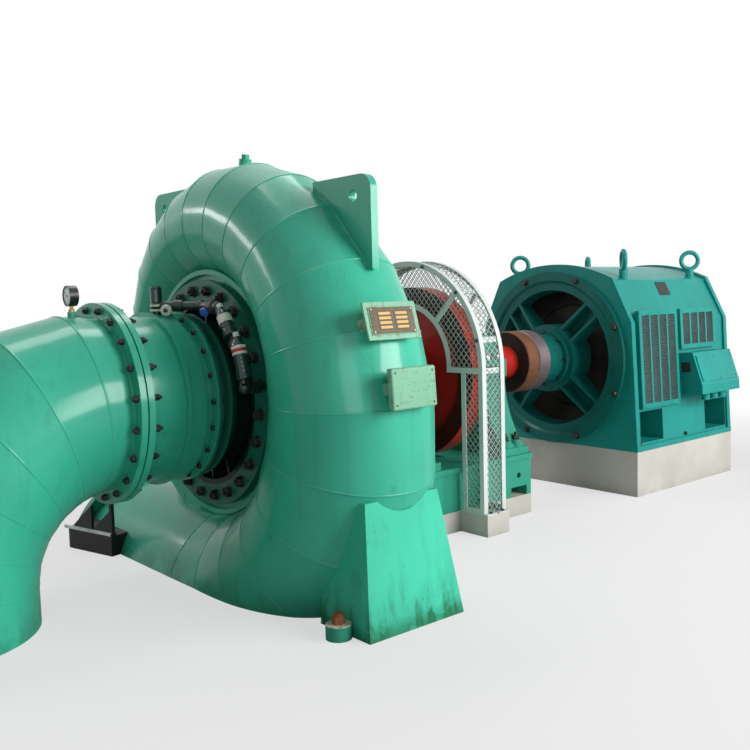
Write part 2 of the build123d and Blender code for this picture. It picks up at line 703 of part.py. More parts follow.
def pedestal(x0):
    """Bearing pedestal: foot, flared web, and a split round housing with ears and an oil cup."""
    x1 = x0 + PEDESTAL_W
    knee = BASE_TOP_Z + PEDESTAL_FOOT_T
    neck = SHAFT_Z - BEARING_EAR_T
    toe = PEDESTAL_FOOT_HALF - PEDESTAL_FOOT_OUT
    flare = TangentArc((PEDESTAL_WAIST, neck), (toe, knee), tangent=(0, -1))
    rest = Polyline((toe, knee), (0, knee), (0, SHAFT_Z), (PEDESTAL_WAIST, SHAFT_Z), (PEDESTAL_WAIST, neck))
    half = make_face((flare + rest).edges())
    body = extrude(across(x0) * (half + mirror(half, about=Plane.YZ)), amount=PEDESTAL_W)
    body += block(x0 - PEDESTAL_FOOT_OUT, x1 + PEDESTAL_FOOT_OUT, -PEDESTAL_FOOT_HALF, PEDESTAL_FOOT_HALF,
                  BASE_TOP_Z, knee)
    body += bar_x(BEARING_R, x0 - BEARING_OUT, x1 + BEARING_OUT)
    ear = BEARING_R + BEARING_EAR
    body += block(x0, x1, -ear, ear, neck, SHAFT_Z + BEARING_EAR_T)
    middle = (x0 + x1) / 2
    crown = SHAFT_Z + BEARING_R
    body += rod((middle, 0, crown - OIL_CUP_H), (middle, 0, crown + OIL_CUP_H), OIL_CUP_R)
    return body - bar_x(SHAFT_R + RUN_GAP, x0 - BEARING_OUT, x1 + BEARING_OUT)


def turbine_shaft():
    """Shaft from the gland to the coupling, with the sleeve of the coupling hub."""
    return bar_x(SHAFT_R, SHAFT_START_X, COUPLING_X + COUPLING_T) + bar_x(SLEEVE_R, SLEEVE_X, COUPLING_X)


def flywheel():
    """Flywheel turned with a heavy rim, a thin web and a hub."""
    x0 = FLYWHEEL_X
    x1 = FLYWHEEL_X + FLYWHEEL_T
    web0 = (x0 + x1 - FLYWHEEL_WEB_T) / 2
    web1 = web0 + FLYWHEEL_WEB_T
    rim_r = FLYWHEEL_R - FLYWHEEL_RIM
    return turned((x0, SHAFT_R), (x0, FLYWHEEL_HUB_R), (web0, FLYWHEEL_HUB_R), (web0, rim_r), (x0, rim_r),
                  (x0, FLYWHEEL_R), (x1, FLYWHEEL_R), (x1, rim_r), (web1, rim_r), (web1, FLYWHEEL_HUB_R),
                  (x1, FLYWHEEL_HUB_R), (x1, SHAFT_R))


def coupling_pins():
    """Drive pins that join the two coupling halves."""
    end = GEN_COUPLING_X + COUPLING_T - PIN_INSET
    pins = []
    for angle in around(PIN_COUNT, 180.0 / PIN_COUNT):
        y = PIN_CIRCLE_R * cos(radians(angle))
        z = SHAFT_Z + PIN_CIRCLE_R * sin(radians(angle))
        pins.append(bar_x(PIN_R, COUPLING_X + PIN_INSET, end, y, z))
    return Compound(pins)


def coupling_half(x0):
    """One half of the pin coupling, with broken edges."""
    x1 = x0 + COUPLING_T
    edge_r = COUPLING_R - COUPLING_EDGE
    half = turned((x0, SHAFT_R), (x0, edge_r), (x0 + COUPLING_EDGE, COUPLING_R),
                  (x1 - COUPLING_EDGE, COUPLING_R), (x1, edge_r), (x1, SHAFT_R))
    for pin in coupling_pins().solids():
        half -= pin
    return half


def arch(outer, inner, thick):
    """Half ring over the shaft, as thick as given along it."""
    ring = Circle(outer) - Circle(inner) - Rectangle(3 * outer, 3 * outer, align=(CENTRE, HIGH))
    return extrude(across(0) * Pos(0, GUARD_ARCH_Z) * ring, amount=thick)


def both_sides(thick, outer, inner, low, high):
    """Two upright strips, one on each side of the shaft."""
    return block(0, thick, inner, outer, low, high) + block(0, thick, -outer, -inner, low, high)


def guard_side():
    """One side of the guard in angle iron, with its face at X = 0 and its lips along +X."""
    flat = GUARD_ANGLE_T
    lip = GUARD_ANGLE
    top = GUARD_ARCH_Z
    frame = arch(GUARD_R, GUARD_R - lip, flat) + arch(GUARD_R, GUARD_R - flat, lip)
    frame += both_sides(flat, GUARD_R, GUARD_R - lip, PLINTH_Z, top)
    frame += both_sides(lip, GUARD_R, GUARD_R - flat, PLINTH_Z, top)
    frame += arch(GUARD_INNER_R + lip, GUARD_INNER_R, flat)
    frame += both_sides(flat, GUARD_LEG_IN + lip, GUARD_LEG_IN, PLINTH_Z, top)
    frame += both_sides(flat, GUARD_R, GUARD_INNER_R, top - lip, top)
    frame += both_sides(flat, GUARD_R, GUARD_LEG_IN, PLINTH_Z, PLINTH_Z + lip)
    frame += both_sides(GUARD_FOOT_L, GUARD_R + GUARD_FOOT_W, GUARD_R, PLINTH_Z, PLINTH_Z + GUARD_FOOT_T)
    bar = block(0, flat, GUARD_INNER_R + flat, GUARD_R - flat, -lip / 2, lip / 2)
    for angle in GUARD_BAR_DEG:
        frame += Pos(0, 0, top) * Rot(angle, 0, 0) * bar
    return frame


def guard_ties():
    """Cross ties inside the arch, and rails across the legs, that join the two sides."""
    wide = GUARD_W - 2 * MESH_X
    outer = MESH_R - MESH_T - 2 * SEAT_GAP
    tie = block(0, wide, outer - GUARD_ANGLE_T, outer, -GUARD_ANGLE / 2, GUARD_ANGLE / 2)
    turns = [180.0 * (i + 0.5) / GUARD_TIES for i in range(GUARD_TIES)]
    pieces = [Pos(0, 0, GUARD_ARCH_Z) * Rot(angle, 0, 0) * tie for angle in turns]
    rails = both_sides(wide, outer, outer - GUARD_ANGLE_T, GUARD_ARCH_Z - GUARD_ANGLE, GUARD_ARCH_Z)
    return Pos(GUARD_X + MESH_X, 0, 0) * Compound(pieces + list(rails.solids()))


def guard_side_mesh(x0):
    """Flat mesh behind one side of the guard: the arch and its two legs."""
    upper = arch(MESH_R, GUARD_INNER_R, MESH_T)
    legs = both_sides(MESH_T, MESH_R, GUARD_LEG_IN, PLINTH_Z, GUARD_ARCH_Z - SEAT_GAP)
    return Pos(x0, 0, 0) * Compound(list(upper.solids()) + list(legs.solids()))


def guard_rim_mesh():
    """Curved mesh between the two sides of the guard."""
    return Pos(GUARD_X + MESH_X, 0, 0) * arch(MESH_R, MESH_R - MESH_T, GUARD_W - 2 * MESH_X)


def guard_leg_mesh():
    """Flat outer mesh on the two legs of the guard."""
    legs = both_sides(GUARD_W - 2 * MESH_X, MESH_R, MESH_R - MESH_T, PLINTH_Z, GUARD_ARCH_Z - SEAT_GAP)
    return Pos(GUARD_X + MESH_X, 0, 0) * Compound(list(legs.solids()))


def generator_body(x0, length, inset):
    """A length of the generator's outline: leaning sides, shoulders and an arched roof."""
    foot = (GEN_FOOT_HALF - inset, GEN_BASE_Z)
    side = (GEN_SIDE_HALF - inset, GEN_SIDE_Z)
    shoulder = (GEN_SHOULDER_HALF - inset, GEN_SHOULDER_Z - inset)
    right = [foot, side, shoulder]
    left = [(-y, z) for y, z in reversed(right)]
    roof = ThreePointArc(shoulder, (0, GEN_TOP_Z - inset), left[0])
    outline = make_face((Polyline(*left, *right) + roof).edges())
    return extrude(across(x0) * outline, amount=length)


def generator_frame():
    """Generator frame between two end plates, with foot rails, bore and foot pockets."""
    frame = generator_body(GEN_X, GEN_LENGTH, GEN_PLATE_LIP)
    frame += generator_body(GEN_X, GEN_PLATE_T, 0) + generator_body(GEN_END_X - GEN_PLATE_T, GEN_PLATE_T, 0)
    frame += block(GEN_X, GEN_END_X, -GEN_FOOT_HALF, GEN_FOOT_HALF, GEN_BASE_Z, GEN_BASE_Z + GEN_FOOT_T)
    low = GEN_BASE_Z + POCKET_LOW
    for x in (GEN_X + POCKET_END, GEN_END_X - POCKET_END - POCKET_W):
        for side in (-1, 1):
            y0, y1 = sorted((side * GEN_FOOT_HALF, side * (GEN_FOOT_HALF - POCKET_DEEP)))
            frame -= block(x, x + POCKET_W, y0, y1, low, low + POCKET_H)
    return frame - bar_x(GEN_BORE_R, GEN_X, GEN_END_X)


def generator_plinth():
    """Concrete plinth under the generator feet."""
    return block(GEN_X, GEN_END_X, -GEN_FOOT_HALF, GEN_FOOT_HALF, 0, GEN_BASE_Z)


def end_bracket(face, out, nose):
    """Spoked end bracket: stepped bolting ring, sloped channel spokes and a hub; out is -1 or 1."""
    def at(depth):
        return face + out * depth

    seat_r = GEN_BORE_R - BRACKET_SEAT
    bore_r = SHAFT_R + RUN_GAP
    cap = HUB_FACE + HUB_CAP_T
    front = HUB_FACE + nose
    start = HUB_R - SPOKE_RIB_W
    end = BRACKET_IN_R + BRACKET_STEP
    bracket = turned((at(0), seat_r), (at(0), BRACKET_R), (at(BRACKET_T), BRACKET_R),
                     (at(BRACKET_T), GEN_BORE_R), (at(BRACKET_STEP), GEN_BORE_R - BRACKET_STEP),
                     (at(BRACKET_STEP), end), (at(-BRACKET_DISH), BRACKET_IN_R), (at(-BRACKET_DISH), seat_r))
    bracket += turned((at(-HUB_BACK), bore_r), (at(-HUB_BACK), HUB_R), (at(HUB_FACE), HUB_R),
                      (at(HUB_FACE), HUB_CAP_R), (at(cap), HUB_CAP_R), (at(cap), HUB_NOSE_R),
                      (at(front), HUB_NOSE_R), (at(front), bore_r))
    edge = SPOKE_W / 2
    web = sorted((at(-SPOKE_WEB_DEEP), at(-SPOKE_WEB_DEEP - SPOKE_WEB_T)))
    side = make_face(Polyline((at(-BRACKET_DISH), start), (at(HUB_FACE), start), (at(BRACKET_STEP), end),
                              (at(-BRACKET_DISH), end), close=True))
    rib = extrude(side, amount=SPOKE_RIB_W, dir=(0, 0, 1))
    spoke = block(*web, start, end, -edge, edge)
    spoke += Pos(0, 0, -edge) * rib + Pos(0, 0, edge - SPOKE_RIB_W) * rib
    for angle in around(SPOKE_COUNT, 180.0 / SPOKE_COUNT):
        bracket += about_shaft(angle, spoke)
    return bracket


def core_ring(outer, inner):
    """Ring as long as the stator core."""
    return turned((GEN_X + CORE_END, inner), (GEN_X + CORE_END, outer), (GEN_END_X - CORE_END, outer),
                  (GEN_END_X - CORE_END, inner))


def generator_shaft():
    """Generator shaft from the coupling to the rear bearing."""
    return bar_x(SHAFT_R, GEN_COUPLING_X, REAR_HUB_X)


def rear_bearing_cap():
    """Cap over the rear bearing, with a broken edge and room for the shaft end."""
    floor = REAR_HUB_X + MOVE_GAP
    end = REAR_HUB_X + REAR_CAP_T
    room_r = SHAFT_R + MOVE_GAP
    return turned((REAR_HUB_X, room_r), (REAR_HUB_X, HUB_NOSE_R), (end - REAR_CAP_EDGE, HUB_NOSE_R),
                  (end, HUB_NOSE_R - REAR_CAP_EDGE), (end, 0), (floor, 0), (floor, room_r))


def roof_z(y):
    """Height of the frame's arched roof at a distance from its middle."""
    half = GEN_SHOULDER_HALF - GEN_PLATE_LIP
    radius = (half ** 2 + GEN_ROOF_H ** 2) / (2 * GEN_ROOF_H)
    return GEN_TOP_Z - GEN_PLATE_LIP - radius + sqrt(radius ** 2 - y ** 2)


def lifting_eyes():
    """Lifting eyes with round necks, seated on the roof."""
    body = generator_body(GEN_X, GEN_LENGTH, GEN_PLATE_LIP)
    low = roof_z(EYE_Y)
    neck_top = low + EYE_NECK_H + EYE_BAR_R
    eyes = []
    for x, turn in ((GEN_X + EYE_END, -1), (GEN_END_X - EYE_END, 1)):
        for side in (-1, 1):
            y = side * EYE_Y
            stand = Rot(0, 0, side * turn * EYE_YAW) * Rot(90, 0, 0)
            eye = Pos(x, y, neck_top + EYE_R) * stand * Torus(EYE_R, EYE_BAR_R)
            eye += rod((x, y, low - 2 * EYE_NECK_R), (x, y, neck_top), EYE_NECK_R)
            eyes.append(biggest(eye - body))
    return Compound(eyes)


def side_place(x, up):
    """Place on the terminal side of the frame, with its height counted up the leaning side."""
    length = hypot(GEN_SIDE_H, GEN_SIDE_LEAN)
    lean = GEN_SIDE_LEAN / length
    rise = GEN_SIDE_H / length
    y = GEN_PLATE_LIP - GEN_FOOT_HALF + lean * up
    return Plane(origin=(x, y, GEN_BASE_Z + rise * up), x_dir=(1, 0, 0), z_dir=(0, -rise, lean)).location


def grille(x, height):
    """Air grille: back plate, frame with upright bars, and sloped slats between them."""
    panel = Box(GRILLE_W, height, GRILLE_T, align=(LOW, LOW, LOW))
    inner_w = GRILLE_W - 2 * GRILLE_FRAME
    inner_h = height - 2 * GRILLE_FRAME
    bay = (inner_w - (GRILLE_BAYS - 1) * GRILLE_BAR) / GRILLE_BAYS
    window = Box(bay, inner_h, GRILLE_T, align=(LOW, LOW, LOW))
    for i in range(GRILLE_BAYS):
        panel -= Pos(GRILLE_FRAME + i * (bay + GRILLE_BAR), GRILLE_FRAME, GRILLE_BACK) * window
    slat = Rot(-SLAT_TILT, 0, 0) * Box(inner_w, SLAT_T, GRILLE_T - GRILLE_BACK - SLAT_T)
    for i in range(int(inner_h / SLAT_PITCH)):
        panel += Pos(GRILLE_W / 2, GRILLE_FRAME + (i + 0.5) * SLAT_PITCH, (GRILLE_T + GRILLE_BACK) / 2) * slat
    return side_place(x, GRILLE_LOW + GRILLE_H - height) * panel


def terminal_box():
    """Terminal box with a raised lid on its sloped front, and empty cable glands under it."""
    side = make_face(Polyline((0, 0, 0), (0, 0, BOX_OUT), (0, BOX_KNEE_H, BOX_OUT), (0, BOX_H, BOX_TOP_OUT),
                              (0, BOX_H, 0), close=True))
    box = extrude(side, amount=BOX_L, dir=(1, 0, 0))
    rise = BOX_H - BOX_KNEE_H
    back = BOX_OUT - BOX_TOP_OUT
    slope = Plane(origin=(0, BOX_KNEE_H, BOX_OUT), x_dir=(1, 0, 0), z_dir=(0, back, rise))
    rim = 2 * BOX_LID_IN
    lid = Box(BOX_L - rim, hypot(rise, back) - rim, BOX_LID_T, align=(LOW, LOW, LOW))
    box += slope.location * Pos(BOX_LID_IN, BOX_LID_IN, 0) * lid
    gland = Rot(90, 0, 0) * Cylinder(CABLE_GLAND_R, CABLE_GLAND_L, align=(CENTRE, CENTRE, LOW))
    first = (BOX_L - (CABLE_GLANDS - 1) * CABLE_GLAND_PITCH) / 2
    for i in range(CABLE_GLANDS):
        box += Pos(first + i * CABLE_GLAND_PITCH, 0, BOX_TOP_OUT) * gland
    return side_place(SIDE_X, BOX_LOW) * box


def main():
    """Build every sub-part and write it to its own file."""
    nodes = {
        "spiral_case": spiral_case(),
        "inlet_flange": inlet_flange(),
        "inlet_saddle": inlet_saddle(),
        "head_cover_ring": head_cover_ring(),
        "draft_cone": draft_cone(),
        "flange_gasket": flange_gasket(),
        "elbow_flange": elbow_flange(),
        "draft_elbow": draft_elbow(),
        "gauge_stem": gauge_stem(),
        "pressure_gauge": pressure_gauge(),
        "case_leg": leg(),
        "anchor_bosses": anchor_bosses(),
        "lifting_lug_front": lifting_lug(-1, tube_outer_r(90), LUG_FRONT_IN),
        "lifting_lug_rear": lifting_lug(1, tube_outer_r(270), LUG_REAR_IN),
        "crown_plug": crown_plug(),
        "rating_plate": rating_plate(),
        "side_hatch": side_hatch(),
        "seal_pipe": seal_pipe(),
        "drive_cover": drive_cover(),
        "bearing_plinth": bearing_plinth(),
        "bearing_base": bearing_base(),
        "pedestal_turbine": pedestal(TURBINE_PEDESTAL_X),
        "pedestal_generator": pedestal(GENERATOR_PEDESTAL_X),
        "turbine_shaft": turbine_shaft(),
        "flywheel": flywheel(),
        "coupling_turbine": coupling_half(COUPLING_X),
        "coupling_generator": coupling_half(GEN_COUPLING_X),
        "coupling_pins": coupling_pins(),
        "guard_frame_turbine": Pos(GUARD_X, 0, 0) * guard_side(),
        "guard_frame_generator": Pos(GUARD_END_X, 0, 0) * mirror(guard_side(), about=Plane.YZ),
        "guard_ties": guard_ties(),
        "guard_mesh_turbine": guard_side_mesh(GUARD_X + GUARD_ANGLE_T),
        "guard_mesh_generator": guard_side_mesh(GUARD_END_X - MESH_X),
        "guard_rim_mesh": guard_rim_mesh(),
        "guard_leg_mesh": guard_leg_mesh(),
        "generator_plinth": generator_plinth(),
        "generator_frame": generator_frame(),
        "end_bracket_front": end_bracket(GEN_X, -1, FRONT_NOSE_L),
        "end_bracket_rear": end_bracket(GEN_END_X, 1, REAR_NOSE_L),
        "rear_bearing_cap": rear_bearing_cap(),
        "stator_core": core_ring(GEN_BORE_R, CORE_IN_R),
        "generator_rotor": core_ring(CORE_IN_R - MOVE_GAP, SHAFT_R),
        "generator_shaft": generator_shaft(),
        "lifting_eyes": lifting_eyes(),
        "air_grille_tall": grille(GRILLE_X, GRILLE_H),
        "air_grille_short": grille(SIDE_X, SHORT_GRILLE_H),
        "terminal_box": terminal_box(),
    }
    os.makedirs("parts", exist_ok=True)
    for name, shape in nodes.items():
        export_step(shape, "parts/" + name + ".step")


if __name__ == "__main__":
    main()
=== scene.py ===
"""Finishes, fasteners, weld seams, wire mesh and stage of the hydroelectric set."""
from itertools import product
from math import acos, cos, hypot, inf, pi, radians, sin, sqrt

import bmesh
import bpy
from bpy.props import FloatProperty, FloatVectorProperty, IntProperty, PointerProperty
from mathutils import Matrix, Vector


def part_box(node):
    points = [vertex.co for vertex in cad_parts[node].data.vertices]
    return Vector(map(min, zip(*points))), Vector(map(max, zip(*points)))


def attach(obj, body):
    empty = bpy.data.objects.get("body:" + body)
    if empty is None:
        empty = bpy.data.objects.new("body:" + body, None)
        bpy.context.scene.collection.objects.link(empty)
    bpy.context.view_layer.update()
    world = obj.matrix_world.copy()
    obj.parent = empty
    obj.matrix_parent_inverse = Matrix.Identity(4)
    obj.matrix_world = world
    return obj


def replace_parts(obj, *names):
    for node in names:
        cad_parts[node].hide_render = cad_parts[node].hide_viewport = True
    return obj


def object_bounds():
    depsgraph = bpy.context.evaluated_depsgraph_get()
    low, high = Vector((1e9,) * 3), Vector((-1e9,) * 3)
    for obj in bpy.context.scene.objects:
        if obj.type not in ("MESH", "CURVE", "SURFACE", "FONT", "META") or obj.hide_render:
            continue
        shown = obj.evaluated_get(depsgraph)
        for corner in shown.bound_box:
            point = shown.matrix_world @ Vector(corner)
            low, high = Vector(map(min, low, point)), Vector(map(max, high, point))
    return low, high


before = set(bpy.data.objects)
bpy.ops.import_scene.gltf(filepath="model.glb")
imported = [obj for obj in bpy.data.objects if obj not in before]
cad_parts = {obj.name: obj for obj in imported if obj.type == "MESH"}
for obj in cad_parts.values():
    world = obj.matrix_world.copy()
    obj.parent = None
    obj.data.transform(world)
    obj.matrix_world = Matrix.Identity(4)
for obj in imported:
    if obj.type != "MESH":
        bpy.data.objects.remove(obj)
CAD_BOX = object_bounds()

bl_info = {
    "name": "Hydroelectric Set Dressing",
    "version": (1, 0, 0),
    "blender": (4, 5, 0),
    "location": "3D View > Sidebar > Hydro Set",
    "description": "Finishes and small pieces of a horizontal turbine and generator set",
    "category": "Object",
}

# Axes
ALONG = Vector((1, 0, 0))
ACROSS = Vector((0, 1, 0))
UP = Vector((0, 0, 1))

# Turbine, in metres
SHAFT_Z = 0.750
SHAFT_LINE = Vector((0, 0, SHAFT_Z))
STAY_RING_R = 0.516
STAY_RING_HALF = 0.113
TUBE_INLET_R = 0.377
TUBE_TAPER = 0.000842
TUBE_TAIL_R = 0.122
GORE_DEG = 15.0
GORE_COUNT = 23
RECESS_R = 0.385
NECK_ROOT_X = -0.200
CONE_R = 0.330
CONE_FLANGE_T = 0.025
ELBOW_R = 0.335
ELBOW_GROWTH = 0.045
ELBOW_BEND_R = 0.650
ELBOW_STRAIGHT = 0.010
MITRE_DEG = 15.0
LUG_HALF = 0.015
LUG_TURNS = {"lifting_lug_front": range(92, 178), "lifting_lug_rear": range(182, 268)}
PLATE_DEG = 106.0
PLATE_X = -0.030
PLATE_OUT = 0.041
PLATE_SIZE = (0.192, 0.092, 0.002)
PANEL_X = (-0.034, 0.040)
PANEL_SIZE = (0.064, 0.066, 0.0007)
FIELD_SIZE = (0.052, 0.009, 0.0008)
FIELD_PITCH = 0.016
HATCH_DEG = 94.0
HATCH_X = -0.002
HATCH_OUT = 0.052
COVER_FACE_X = -0.153
DRIVE_FACE_X = 0.163
NECK_FLANGE_X = (-0.296, -0.272)
NECK_BOLT = 0.020
FLANGE_TWIST = radians(2)
INLET_BOLT_LOW_Z = 0.03
STEM_FOOT_Z = 1.1072
DIAL_R = 0.0345
DIAL_MARKS = 21
DIAL_TURN = (-45, 270)
NEEDLE_AIM = Vector((0, 0.75, 0.66))
BOSS_R = 0.045
BOSS_TOP_Z = 0.050
BOSS_MORTAR_Z = 0.0485
BOSS_STUD_Z = 0.054
BENCH_CORNER = Vector((-0.400, 0.459, 0.0905))
BENCH_SKEW = radians(14.75)
BENCH_BAR = (0.010, 0.336, 0.0150)

# Weld beads
BEAD_STEP = 0.012
BEAD_LOW_Z = 0.004
ROUND_STEPS = 180

# Seal-water pipe
STAND_PIPE = Vector((-0.370, -0.028, 0))
STAND_TEE_Z = 1.1228
RUN_START = Vector((-0.240, -0.1555, 1.1164))
RUN_END = Vector((-0.240, -0.2820, 1.1109))
SLEEVE_R = 0.0235
BOWL_R = 0.0270
BOWL_RIDGE = 0.016
BOWLS = ((Vector((-0.252, -0.314, 1.122)), Vector((-0.252, -0.394, 1.000))),
         (Vector((-0.252, -0.424, 1.016)), Vector((-0.252, -0.480, 0.842))))
KNOB_AIM = Vector((-0.70, -0.71, -0.05))
BLUE_AIM = Vector((-0.72, -0.45, -0.53))

# Guard and bearings
GUARD_ARCH_Z = 0.790
GUARD_INNER_R = 0.285
GUARD_LEG_IN = 0.379
GUARD_TIES = 6
GUARD_FOOT_Y = 0.525
GUARD_BOLT_R = 0.500
GUARD_BOLT = 0.013
MESH_R = 0.5097
MESH_RIM = 0.004
WIRE_THICK = 0.0018
WIRE_SLOPE = radians(47.0)
WIRE_STEP = 0.004
WHEEL_R = 0.425
# Radius from which the wheel's faces get painted shade
WHEEL_SHADE_R = 0.315
COUPLING_EDGE_R = 0.1655
PLINTH_Z = 0.100
PEDESTAL_FOOT_Z = 0.350
PEDESTAL_BOLT = 0.030
PEDESTAL_BOLT_IN = 0.056
FOOT_BOLT_Y = 0.318
PAD_H = 0.036
EAR_BOLT_Y = 0.203
EAR_TOP_Z = 0.794

# Generator
GEN_X = 2.170
GEN_END_X = 3.180
GEN_BASE_Z = 0.247
BRACKET_T = 0.028
BRACKET_BOLT = 0.030
HUB_OUT = 0.087
HUB_CIRCLE = 0.1525
GEN_FOOT_BOLT_X = (0.505, 0.040)
GEN_FOOT_Y = 0.556
GEN_FOOT_BOLT_Z = 0.294
SIDE_FOOT_Y = -0.558
SIDE_H = 0.708
SIDE_LEAN = 0.039
SHOULDER_FOOT = Vector((0, -0.519, 0.955))
SHOULDER_RISE = Vector((0, 0.123, 0.235))
DARK_PLATE_X = 2.645
DARK_PLATE_UP = 0.205
DARK_PLATE_SIZE = (0.112, 0.086, 0.003)
GRILLES = ((2.222, 0.233), (2.638, 0.539))
GRILLE_SIZE = (0.382, 0.771, 0.026)
GRILLE_FRAME = 0.026
GRILLE_BAR = 0.014
GRILLE_BAYS = 4
GAUZE_PITCH = 0.008
GAUZE_WIRE = (0.0026, 0.0008)
BOX_X = 2.638
BOX_L = 0.420
BOX_KNEE = Vector((0, 0.330, 0.144))
BOX_BROW = Vector((0, 0.516, 0.092))
BOX_LID_T = 0.006
BOX_SCREW_IN = 0.032
BOX_HOLE = (0.433, 0.048)
BOX_HOLE_SIZE = (0.058, 0.056, 0.002)

# Stage; the edges are a distance and its softness
FLOOR_HALF = 60.0
STAGE_X = 0.7
SHADOW_EDGE = (4.2, 1.6)
SHADOW_SHARE = 0.40
MIRROR_EDGE = (14.0, 5.0)
LAMP_AIM = Vector((STAGE_X, 0.0, 0.7))
LAMPS = (("key", (3.4, -6.2, 3.0), (4.2, 3.0)), ("window", (-3.4, 4.4, 3.1), (3.4, 0.55)),
         ("ceiling", (0.6, 1.6, 5.2), (3.4, 1.3)), ("front", (-4.4, -7.0, 2.4), (3.4, 2.2)))
CAMERA_AT = Vector((-2.0179, -3.3106, 1.1384))
CAMERA_YAW = radians(49.707)
CAMERA_PITCH = radians(5.082)
CAMERA_ROLL = radians(-1.515)
CAMERA_LENS = 42.73

# Looks
BRASS = (170, 144, 92)
PAINT_SHINE = 0.12
COAT_ROUGHNESS = 0.13


def srgb(red, green, blue):
    """Linear colour from 0-255 values of a colour chart."""
    def linear(value):
        share = value / 255
        return share / 12.92 if share <= 0.04045 else ((share + 0.055) / 1.055) ** 2.4
    return (linear(red), linear(green), linear(blue))


# Near black for painted shade on the wheel's rim and the coupling faces, and for painted shade with soot in
# the cover recess
SOOT_AND_SHADE = srgb(10, 14, 13)


def colour(name, about, default):
    """A colour that a user may change."""
    return FloatVectorProperty(name=name, description=about, subtype="COLOR", size=3, min=0, max=1,
                               default=default)


def length(name, about, default):
    """A length that a user may change."""
    return FloatProperty(name=name, description=about, subtype="DISTANCE", unit="LENGTH", min=0,
                         default=default)


def count(name, about, default):
    """A number of like pieces that a user may change."""
    return IntProperty(name=name, description=about, default=default, min=3)


def power(name, about, default):
    """The power of a lamp that a user may change."""
    return FloatProperty(name=name, description=about, unit="POWER", default=default, min=0)


class HydroPaint(bpy.types.PropertyGroup):
    """Colours of the set's finishes."""
    turbine: colour("Turbine green", "Gloss paint of the turbine", srgb(58, 176, 146))
    generator: colour("Generator teal", "Paint of the generator", srgb(24, 136, 128))
    wheel: colour("Wheel red", "Paint of the flywheel and shaft", srgb(172, 34, 28))
    guard: colour("Guard white", "Paint of the guard's angle iron", srgb(202, 208, 204))
    wire: colour("Wire grey", "Wire of the guard's mesh", srgb(160, 178, 174))
    concrete: colour("Concrete", "Plinths", srgb(184, 181, 173))
    rust: colour("Rust", "Rust on nuts and chipped edges", srgb(128, 74, 42))
    grime: colour("Grime", "Dirt and oil in low places", srgb(34, 48, 38))


class HydroFasteners(bpy.types.PropertyGroup):
    """Numbers and sizes of the fasteners, seams and wires."""
    flange_bolts: count("Flange studs", "Studs round the draft flanges", 20)
    flange_circle: length("Flange stud circle", "Radius of the draft flange's studs", 0.3625)
    neck_circle: length("Neck bolt circle", "Radius of the neck flange's bolts", 0.328)
    cover_bolts: count("Cover bolts", "Bolts round each turbine cover", 24)
    cover_circle: length("Cover bolt circle", "Radius of the cover bolts", 0.430)
    bracket_bolts: count("Bracket bolts", "Bolts round each end bracket", 8)
    bracket_circle: length("Bracket bolt circle", "Radius of the bracket bolts", 0.480)
    large_bolt: length("Large bolt", "Width across the flats of the large bolts", 0.036)
    stud_nut: length("Stud nut", "Width across the flats of the flange nuts", 0.024)
    small_bolt: length("Small bolt", "Width across the flats of the small bolts", 0.018)
    bead_width: length("Weld width", "Width of the weld beads", 0.010)
    bead_height: length("Weld height", "Height of the weld beads", 0.0020)
    wire_pitch: length("Wire pitch", "Distance between the mesh wires", 0.0240)
    wire_width: length("Wire width", "Width of a mesh wire", 0.0030)


class HydroStage(bpy.types.PropertyGroup):
    """Lights and floor."""
    key: power("Key light", "Power of the main light", 545.0)
    window: power("Window light", "Power of the long light behind the set", 70.0)
    ceiling: power("Ceiling light", "Power of the light over the set", 85.0)
    front: power("Front light", "Power of the weak light behind the camera", 75.0)
    sky: FloatProperty(name="Room light", description="Strength of the even room light", default=0.11, min=0)
    floor: colour("Floor", "Pale studio floor", (0.60, 0.60, 0.60))


class Shade:
    """One output of a finish's node; arithmetic on it adds Math nodes."""

    def __init__(self, finish, node, output):
        self.finish = finish
        self.node = node
        self.socket = node.outputs[output] if node.outputs else None

    def _math(self, operation, first, second):
        return self.finish.node("ShaderNodeMath", {"operation": operation}, {0: first, 1: second})

    def __add__(self, other):
        return self._math("ADD", self, other)

    __radd__ = __add__

    def __sub__(self, other):
        return self._math("SUBTRACT", self, other)

    def __rsub__(self, other):
        return self._math("SUBTRACT", other, self)

    def __mul__(self, other):
        return self._math("MULTIPLY", self, other)

    __rmul__ = __mul__

    def __pow__(self, other):
        return self._math("POWER", self, other)

    def above(self, edge, soft):
        """1 where the value is over the edge, with a soft step."""
        settings = {"interpolation_type": "SMOOTHSTEP", "clamp": True}
        sockets = {0: self, 1: edge - soft, 2: edge + soft, 3: 0.0, 4: 1.0}
        return self.finish.node("ShaderNodeMapRange", settings, sockets)

    def below(self, edge, soft):
        """1 where the value is under the edge, with a soft step."""
        return 1 - self.above(edge, soft)


